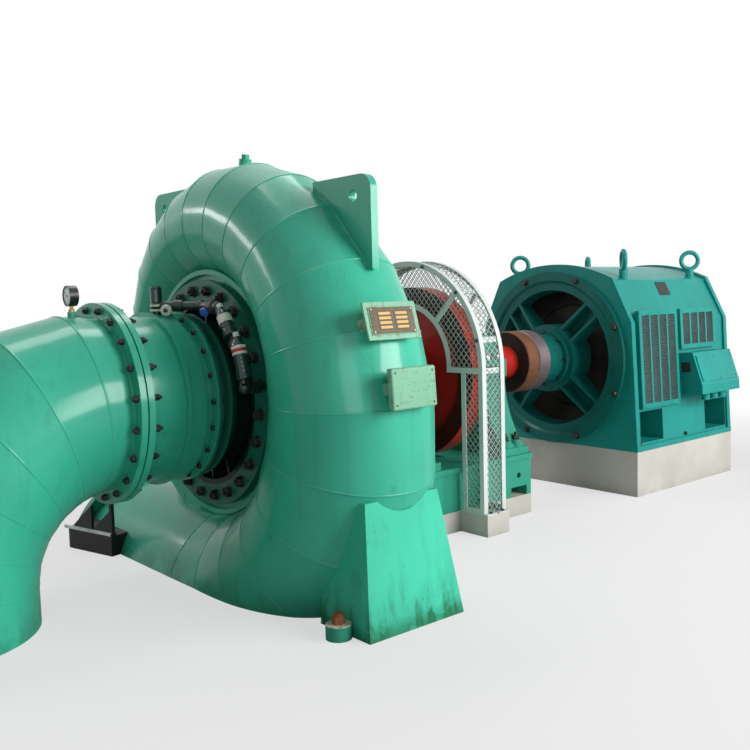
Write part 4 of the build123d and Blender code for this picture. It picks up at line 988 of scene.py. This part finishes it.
class HYDRO_OT_seal_fittings(bpy.types.Operator):
    """Bowls, bands and valve knobs on the seal-water pipe"""
    bl_idname = "hydro.seal_fittings"
    bl_label = "Seal fittings"

    def execute(self, context):
        white = bmesh.new()
        dark = bmesh.new()
        red = bmesh.new()
        sleeve = STAND_TEE_Z + 0.010
        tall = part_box("seal_pipe")[1].z - sleeve - 0.002
        ribbed = [(0.0185, 0.0), (SLEEVE_R, 0.004)]
        for i in range(5):
            rib = tall * 0.16 * i
            ribbed += [(SLEEVE_R, 0.006 + rib), (SLEEVE_R - 0.0013, 0.010 + rib)]
        ribbed += [(SLEEVE_R, tall - 0.006), (0.0190, tall)]
        turned_form(dark, facing(STAND_PIPE + UP * sleeve, UP), ribbed)
        for drop in (0.005, 0.024):
            band(white, facing(STAND_PIPE + UP * (STAND_TEE_Z - drop), UP), 0.0185, 0.0255, 0.0, 0.010)
        for start, end in BOWLS:
            place = facing(start, end - start)
            long = (end - start).length
            turned_form(white, place, ((0.010, 0), (0.012, 0.002), (0.012, 0.017), (0.010, 0.018)), 20)
            bowl = [(0.0095, 0.017), (0.0100, 0.024), (0.0250, 0.046), (BOWL_R, 0.054)]
            for i in range(int((long - 0.066) / BOWL_RIDGE)):
                ridge = BOWL_RIDGE * i
                bowl += [(BOWL_R, 0.056 + ridge), (BOWL_R - 0.0018, 0.062 + ridge), (BOWL_R, 0.068 + ridge)]
            bowl += [(BOWL_R, long - 0.006), (0.0320, long - 0.005), (0.0320, long)]
            turned_form(dark, place, bowl)
            band(white, place, 0.026, 0.0282, 0.054, 0.089)
        # The red band is on the last bowl
        band(red, place, 0.0275, 0.0288, 0.066, 0.080)
        knob = STAND_PIPE.lerp(RUN_START, 0.28)
        knob.z = STAND_TEE_Z - 0.018
        turned_form(white, facing(knob + KNOB_AIM * 0.012, KNOB_AIM),
                    ((0.012, 0), (0.014, 0.014), (0.022, 0.018), (0.023, 0.028), (0.020, 0.033)), 24)
        turned_form(dark, facing(knob + KNOB_AIM * 0.044, KNOB_AIM),
                    ((0.009, 0), (0.009, 0.003), (0.007, 0.004)), 18)
        blue = bmesh.new()
        path = RUN_END - RUN_START
        handle = ((0.008, 0), (0.008, 0.014), (0.018, 0.017), (0.020, 0.025), (0.017, 0.033), (0.009, 0.036))
        turned_form(blue, facing(RUN_START + path * 0.45 + BLUE_AIM * 0.016, BLUE_AIM), handle, 24)
        piece("seal_blue_knob", blue, "blue_plastic")
        body = bmesh.new()
        band(body, facing(RUN_START + path * 0.60, path), 0.0245, 0.031, 0.0, 0.040, 0.006, 8)
        piece("seal_valve_body", body, "black_iron")
        piece("seal_white_fittings", white, "white_plastic")
        piece("seal_bowls", dark, "bowl_teal")
        piece("seal_red_band", red, "red_plastic")
        return {"FINISHED"}


class HYDRO_OT_gauge_dial(bpy.types.Operator):
    """Dial, marks and needle of the pressure gauge, and the nut on its stem"""
    bl_idname = "hydro.gauge_dial"
    bl_label = "Gauge dial"

    def execute(self, context):
        low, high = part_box("pressure_gauge")
        middle = (low + high) / 2
        out = -ALONG
        centre = Vector((low.x + 0.0039, middle.y, middle.z))
        dial = bmesh.new()
        disc = ((DIAL_R, 0.0), (DIAL_R, 0.0008), (DIAL_R - 0.001, 0.0010))
        turned_form(dial, facing(centre, out), disc, 48)
        piece("gauge_dial", dial, "dial")
        marks = bmesh.new()
        face = centre + out * 0.0011
        start, sweep = DIAL_TURN
        for i in range(DIAL_MARKS):
            turn = radians(start + sweep * i / (DIAL_MARKS - 1))
            way = Vector((0, -cos(turn), sin(turn)))
            inner, width = (0.0235, 0.0015) if i % 5 == 0 else (0.0265, 0.0008)
            wire(marks, face + way * inner, face + way * 0.0310, out, width, 0.0004)
        way = NEEDLE_AIM.normalized()
        wire(marks, face - way * 0.008, face + way * 0.025, out, 0.0018, 0.0006)
        turned_form(marks, facing(face, out), ((0.0040, 0.0), (0.0040, 0.0010), (0.0026, 0.0014)), 18)
        piece("gauge_marks", marks, "gauge_case")
        nut = bmesh.new()
        hex_bolt(nut, facing((middle.x, middle.y, low.z - 0.022), UP), 0.022, 0.5, False)
        piece("gauge_nut", nut, "brass")
        return {"FINISHED"}


class HYDRO_OT_guard_mesh(bpy.types.Operator):
    """Wire lattice in place of the guard's flat sheets"""
    bl_idname = "hydro.guard_mesh"
    bl_label = "Guard mesh"

    def execute(self, context):
        sizes = context.scene.hydro_fasteners
        rim = MESH_RIM

        def in_side(y, z):
            if z >= GUARD_ARCH_Z:
                return GUARD_INNER_R + rim < hypot(y, z - GUARD_ARCH_Z) < MESH_R - rim
            return GUARD_LEG_IN + rim < abs(y) < MESH_R - rim and z > PLINTH_Z + rim

        for node in ("guard_mesh_turbine", "guard_mesh_generator"):
            low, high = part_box(node)
            middle = ALONG * (low.x + high.x) / 2
            mesh = bmesh.new()
            lattice(mesh, in_side, (low.y, low.z), (high.y, high.z), sizes,
                    lambda spot: (middle + Vector((0, *spot)), ALONG))
            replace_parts(piece(node + "_wire", mesh, "wire_grey"), node)
        low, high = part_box("guard_rim_mesh")
        radius = MESH_R - 0.001

        def in_rim(u, v):
            return rim < u < radius * pi - rim and low.x + rim < v < high.x - rim

        def on_rim(spot):
            turn = spot.x / radius
            away = Vector((0, cos(turn), sin(turn)))
            return Vector((spot.y, 0, GUARD_ARCH_Z)) + away * radius, away

        mesh = bmesh.new()
        lattice(mesh, in_rim, (0.0, low.x), (radius * pi, high.x), sizes, on_rim, 0.03)
        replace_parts(piece("guard_rim_mesh_wire", mesh, "wire_grey"), "guard_rim_mesh")
        low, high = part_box("guard_leg_mesh")

        def in_leg(x, z):
            return low.x + rim < x < high.x - rim and low.z + rim < z < high.z - rim

        mesh = bmesh.new()
        for y in (low.y + 0.001, high.y - 0.001):
            lattice(mesh, in_leg, (low.x, low.z), (high.x, high.z), sizes,
                    lambda spot: (Vector((spot.x, y, spot.y)), ACROSS))
        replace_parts(piece("guard_leg_mesh_wire", mesh, "wire_grey"), "guard_leg_mesh")
        return {"FINISHED"}


class HYDRO_OT_bearing_bolts(bpy.types.Operator):
    """Bolts and pads of the pedestals, bolts of the guard and nuts of the anchor bosses"""
    bl_idname = "hydro.bearing_bolts"
    bl_label = "Bearing bolts"

    def execute(self, context):
        foot = bmesh.new()
        pads = bmesh.new()
        caps = bmesh.new()
        for node in ("pedestal_turbine", "pedestal_generator"):
            low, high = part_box(node)
            for x, side in product((low.x + PEDESTAL_BOLT_IN, high.x - PEDESTAL_BOLT_IN), (-1, 1)):
                seat = Vector((x, side * FOOT_BOLT_Y, PEDESTAL_FOOT_Z))
                turned_form(pads, facing(seat - UP * 0.004, UP),
                            ((0.030, 0.0), (0.030, PAD_H), (0.027, PAD_H + 0.004)))
                hex_bolt(foot, facing(seat + UP * PAD_H, UP, x), PEDESTAL_BOLT, 0.66, True, 0.016)
                ear = Vector((x, side * EAR_BOLT_Y, EAR_TOP_Z))
                hex_bolt(caps, facing(ear, UP, x * 2), PEDESTAL_BOLT, 0.7, True, 0.012)
        piece("pedestal_pads", pads, "cast_green")
        piece("pedestal_foot_bolts", foot, "black_bolt")
        piece("pedestal_cap_bolts", caps, "bright_steel")
        guard = bmesh.new()
        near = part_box("guard_frame_turbine")[0].x
        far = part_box("guard_frame_generator")[1].x
        for x, out in ((near, 1), (far, -1)):
            for side in (-1, 1):
                place = facing((x + out * 0.035, side * GUARD_FOOT_Y, PLINTH_Z + 0.008), UP, x)
                hex_bolt(guard, place, GUARD_BOLT, 0.6, False)
            for i in range(GUARD_TIES):
                turn = pi * (i + 0.5) / GUARD_TIES
                point = Vector((x, GUARD_BOLT_R * cos(turn), GUARD_ARCH_Z + GUARD_BOLT_R * sin(turn)))
                hex_bolt(guard, facing(point, (-out, 0, 0), turn), GUARD_BOLT, 0.5, True)
        piece("guard_bolts", guard, "black_bolt")
        nuts = bmesh.new()
        low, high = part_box("anchor_bosses")
        for x in (low.x + BOSS_R, high.x - BOSS_R):
            hex_bolt(nuts, facing((x, (low.y + high.y) / 2, BOSS_TOP_Z), UP, 0.4), 0.038, 0.7, False)
        piece("anchor_nuts", nuts, "rusty_nut")
        return {"FINISHED"}


class HYDRO_OT_generator_bolts(bpy.types.Operator):
    """Bolts of the end brackets, hubs and feet, and screws of the grilles and terminal box"""
    bl_idname = "hydro.generator_bolts"
    bl_label = "Generator bolts"

    def execute(self, context):
        sizes = context.scene.hydro_fasteners
        bolts = bmesh.new()
        number = sizes.bracket_bolts
        for face, out in ((GEN_X, -1), (GEN_END_X, 1)):
            bolt_ring(bolts, number, sizes.bracket_circle, face + out * BRACKET_T, out, BRACKET_BOLT,
                      pi / number, head=0.55)
            bolt_ring(bolts, number, HUB_CIRCLE, face + out * HUB_OUT, out, sizes.small_bolt,
                      head=0.6, washer=False)
        for side, x in product((-1, 1), GEN_FOOT_BOLT_X):
            point = (GEN_X + x, side * GEN_FOOT_Y, GEN_FOOT_BOLT_Z)
            hex_bolt(bolts, facing(point, (0, side, 0)), sizes.small_bolt, 0.6)
        piece("bracket_bolts", bolts, "black_bolt")
        screws = bmesh.new()
        wide, top, thick = GRILLE_SIZE
        edge = GRILLE_FRAME / 2
        for x, low in GRILLES:
            for dx, up in product((edge, wide / 2, wide - edge), (low + edge, top - edge)):
                screw(screws, on_side(x + dx, up, thick), 0.0055)
        slope = BOX_BROW - BOX_KNEE
        away = Vector((0, -slope.z, slope.y)).normalized() * BOX_LID_T
        for dx, share in product((BOX_SCREW_IN, BOX_L / 2, BOX_L - BOX_SCREW_IN), (0.17, 0.83)):
            spot = BOX_KNEE + slope * share + away
            screw(screws, on_side(BOX_X + dx, spot.y, spot.z) @ facing((0, 0, 0), away), 0.0065)
        piece("generator_screws", screws, "generator_teal")
        return {"FINISHED"}


class HYDRO_OT_air_gauze(bpy.types.Operator):
    """Dark wire gauze over the slats of the air grilles"""
    bl_idname = "hydro.air_gauze"
    bl_label = "Air gauze"

    def execute(self, context):
        wide, top, thick = GRILLE_SIZE
        bay = (wide - 2 * GRILLE_FRAME - (GRILLE_BAYS - 1) * GRILLE_BAR) / GRILLE_BAYS
        mesh = bmesh.new()
        for (x, low), i in product(GRILLES, range(GRILLE_BAYS)):
            tall = top - low - 2 * GRILLE_FRAME
            left = x + GRILLE_FRAME + i * (bay + GRILLE_BAR)
            place = on_side(left, low + GRILLE_FRAME, thick - 0.0025)
            out = place.to_3x3() @ UP
            lines = [GAUZE_PITCH * (k + 0.5) for k in range(int(bay / GAUZE_PITCH))]
            runs = [((u, 0, 0.0005), (u, tall, 0.0005)) for u in lines]
            lines = [GAUZE_PITCH * (k + 0.5) for k in range(int(tall / GAUZE_PITCH))]
            runs += [((0, v, 0), (bay, v, 0)) for v in lines]
            for start, end in runs:
                wire(mesh, place @ Vector(start), place @ Vector(end), out, *GAUZE_WIRE)
        piece("grille_gauze", mesh, "gauze_grey")
        return {"FINISHED"}


class HYDRO_OT_plates(bpy.types.Operator):
    """Blank plates with their fields, rivets and screws, the box's blind opening and the bench's edge"""
    bl_idname = "hydro.plates"
    bl_label = "Blank plates"

    def execute(self, context):
        plate = bmesh.new()
        face = on_case(PLATE_DEG, PLATE_X, PLATE_OUT)
        block(plate, face, PLATE_SIZE, 0.0006)
        piece("blank_rating_plate", plate, "plate_brown")
        panels = bmesh.new()
        fields = bmesh.new()
        for x in PANEL_X:
            block(panels, face @ Matrix.Translation((x, 0, 0.0018)), PANEL_SIZE, 0.0002)
            for row in range(4):
                spot = face @ Matrix.Translation((x, FIELD_PITCH * (row - 1.5), 0.0023))
                block(fields, spot, FIELD_SIZE, 0.0002)
        piece("rating_plate_panels", panels, "plate_dark")
        piece("rating_plate_fields", fields, "plate_yellow")
        rivets = bmesh.new()
        corner_screws(rivets, face, 0.089, 0.039, 0.0018, 0.0035)
        piece("rating_plate_rivets", rivets, "bright_steel")
        screws = bmesh.new()
        corner_screws(screws, on_case(HATCH_DEG, HATCH_X, HATCH_OUT), 0.084, 0.054, -0.0045, 0.0075)
        piece("hatch_screws", screws, "black_bolt")
        dark = bmesh.new()
        rise = SHOULDER_RISE.normalized()
        away = ALONG.cross(rise)
        spot = SHOULDER_FOOT + ALONG * DARK_PLATE_X + rise * DARK_PLATE_UP - away * 0.0005
        block(dark, on_axes(spot, ALONG, rise, away), DARK_PLATE_SIZE, 0.001)
        hole = on_side(BOX_X, *BOX_HOLE) @ facing((0.0005, 0, 0), -ALONG)
        block(dark, hole, BOX_HOLE_SIZE, 0.0008)
        piece("dark_blank_plates", dark, "black_iron")
        bar = bmesh.new()
        path = Vector((-sin(BENCH_SKEW), cos(BENCH_SKEW), 0))
        side = Vector((cos(BENCH_SKEW), sin(BENCH_SKEW), 0))
        middle = BENCH_CORNER + path * 0.170 + side * 0.004
        block(bar, on_axes(middle, side, path, UP), BENCH_BAR, 0.0015)
        piece("saddle_edge", bar, "steel_edge")
        return {"FINISHED"}


class HYDRO_OT_stage(bpy.types.Operator):
    """Floor, lights, room light and camera"""
    bl_idname = "hydro.stage"
    bl_label = "Stage"

    def execute(self, context):
        scene = context.scene
        stage = scene.hydro_stage
        white = (1.0, 1.0, 1.0)
        mesh = bpy.data.meshes.new("floor")
        corners = [(x * FLOOR_HALF, y * FLOOR_HALF, 0) for x, y in ((-1, -1), (1, -1), (1, 1), (-1, 1))]
        mesh.from_pydata(corners, [], [(0, 1, 2, 3)])
        floor = bpy.data.objects.new("floor", mesh)
        scene.collection.objects.link(floor)
        ground = new_finish("floor")
        ground.set(Base_Color=stage.floor, Roughness=0.85)
        along = ground.axis(0) - STAGE_X
        across = ground.axis(1)
        reach = (along * along + across * across) ** 0.5
        plain = ground.ray("Camera") * (1 - reach.below(*SHADOW_EDGE) * SHADOW_SHARE)
        share = plain + ground.ray("Glossy", "Transmission") * reach.above(*MIRROR_EDGE)
        glow = ground.node("ShaderNodeEmission", None, {"Color": white, "Strength": 1.0})
        ground.feed(ground.output.node.inputs[0],
                    ground.node("ShaderNodeMixShader", None, {0: share, 1: ground.shader, 2: glow}))
        mesh.materials.append(ground.owner)
        for name, place, size in LAMPS:
            lamp = bpy.data.lights.new(name, "AREA")
            lamp.shape = "RECTANGLE"
            lamp.size, lamp.size_y = size
            lamp.energy = getattr(stage, name)
            made = bpy.data.objects.new(name, lamp)
            made.matrix_world = facing(place, Vector(place) - LAMP_AIM)
            scene.collection.objects.link(made)
        scene.world = bpy.data.worlds.new("studio")
        room = Finish(scene.world, "ShaderNodeBackground", "ShaderNodeOutputWorld")
        room.set(Color=white, Strength=stage.sky)
        backdrop = room.node("ShaderNodeBackground", None, {"Color": white, "Strength": 1.0})
        sockets = {0: room.ray("Camera", "Glossy", "Transmission"), 1: room.shader, 2: backdrop}
        room.feed(room.output.node.inputs[0], room.node("ShaderNodeMixShader", None, sockets))
        ahead = Vector((cos(CAMERA_YAW) * cos(CAMERA_PITCH), sin(CAMERA_YAW) * cos(CAMERA_PITCH),
                        -sin(CAMERA_PITCH)))
        right = Vector((sin(CAMERA_YAW), -cos(CAMERA_YAW), 0))
        up = right.cross(ahead)
        side = right * cos(CAMERA_ROLL) + up * sin(CAMERA_ROLL)
        top = up * cos(CAMERA_ROLL) - right * sin(CAMERA_ROLL)
        camera = bpy.data.cameras.new("camera")
        camera.sensor_width = 36.0
        camera.lens = CAMERA_LENS
        camera.clip_end = 200.0
        view = bpy.data.objects.new("camera", camera)
        view.matrix_world = on_axes(CAMERA_AT, side, top, -ahead)
        scene.collection.objects.link(view)
        scene.camera = view
        scene.view_settings.view_transform = "Standard"
        return {"FINISHED"}


OPERATORS = (HYDRO_OT_stage, HYDRO_OT_turbine_finish, HYDRO_OT_shaft_line_finish, HYDRO_OT_generator_finish,
             HYDRO_OT_weld_seams, HYDRO_OT_turbine_bolts, HYDRO_OT_seal_fittings, HYDRO_OT_gauge_dial,
             HYDRO_OT_guard_mesh, HYDRO_OT_bearing_bolts, HYDRO_OT_generator_bolts, HYDRO_OT_air_gauze,
             HYDRO_OT_plates)
GROUPS = (("hydro_paint", HydroPaint), ("hydro_fasteners", HydroFasteners), ("hydro_stage", HydroStage))


class HYDRO_PT_panel(bpy.types.Panel):
    """Settings and steps of the set's dressing"""
    bl_idname = "HYDRO_PT_panel"
    bl_label = "Hydro Set"
    bl_space_type = "VIEW_3D"
    bl_region_type = "UI"
    bl_category = "Hydro Set"

    def draw(self, context):
        for key, group in GROUPS:
            column = self.layout.column()
            for name in group.__annotations__:
                column.prop(getattr(context.scene, key), name)
        for operator in OPERATORS:
            self.layout.operator(operator.bl_idname)


CLASSES = tuple(group for _, group in GROUPS) + OPERATORS + (HYDRO_PT_panel,)


def register():
    """Register the classes and hang their settings on the scene."""
    for cls in CLASSES:
        bpy.utils.register_class(cls)
    for name, group in GROUPS:
        setattr(bpy.types.Scene, name, PointerProperty(type=group))


def unregister():
    """Take the settings and the classes away."""
    for name, _ in GROUPS:
        delattr(bpy.types.Scene, name)
    for cls in reversed(CLASSES):
        bpy.utils.unregister_class(cls)


def main():
    """Register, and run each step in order."""
    register()
    for operator in OPERATORS:
        group, name = operator.bl_idname.split(".")
        getattr(getattr(bpy.ops, group), name)()


if __name__ == "__main__":
    main()
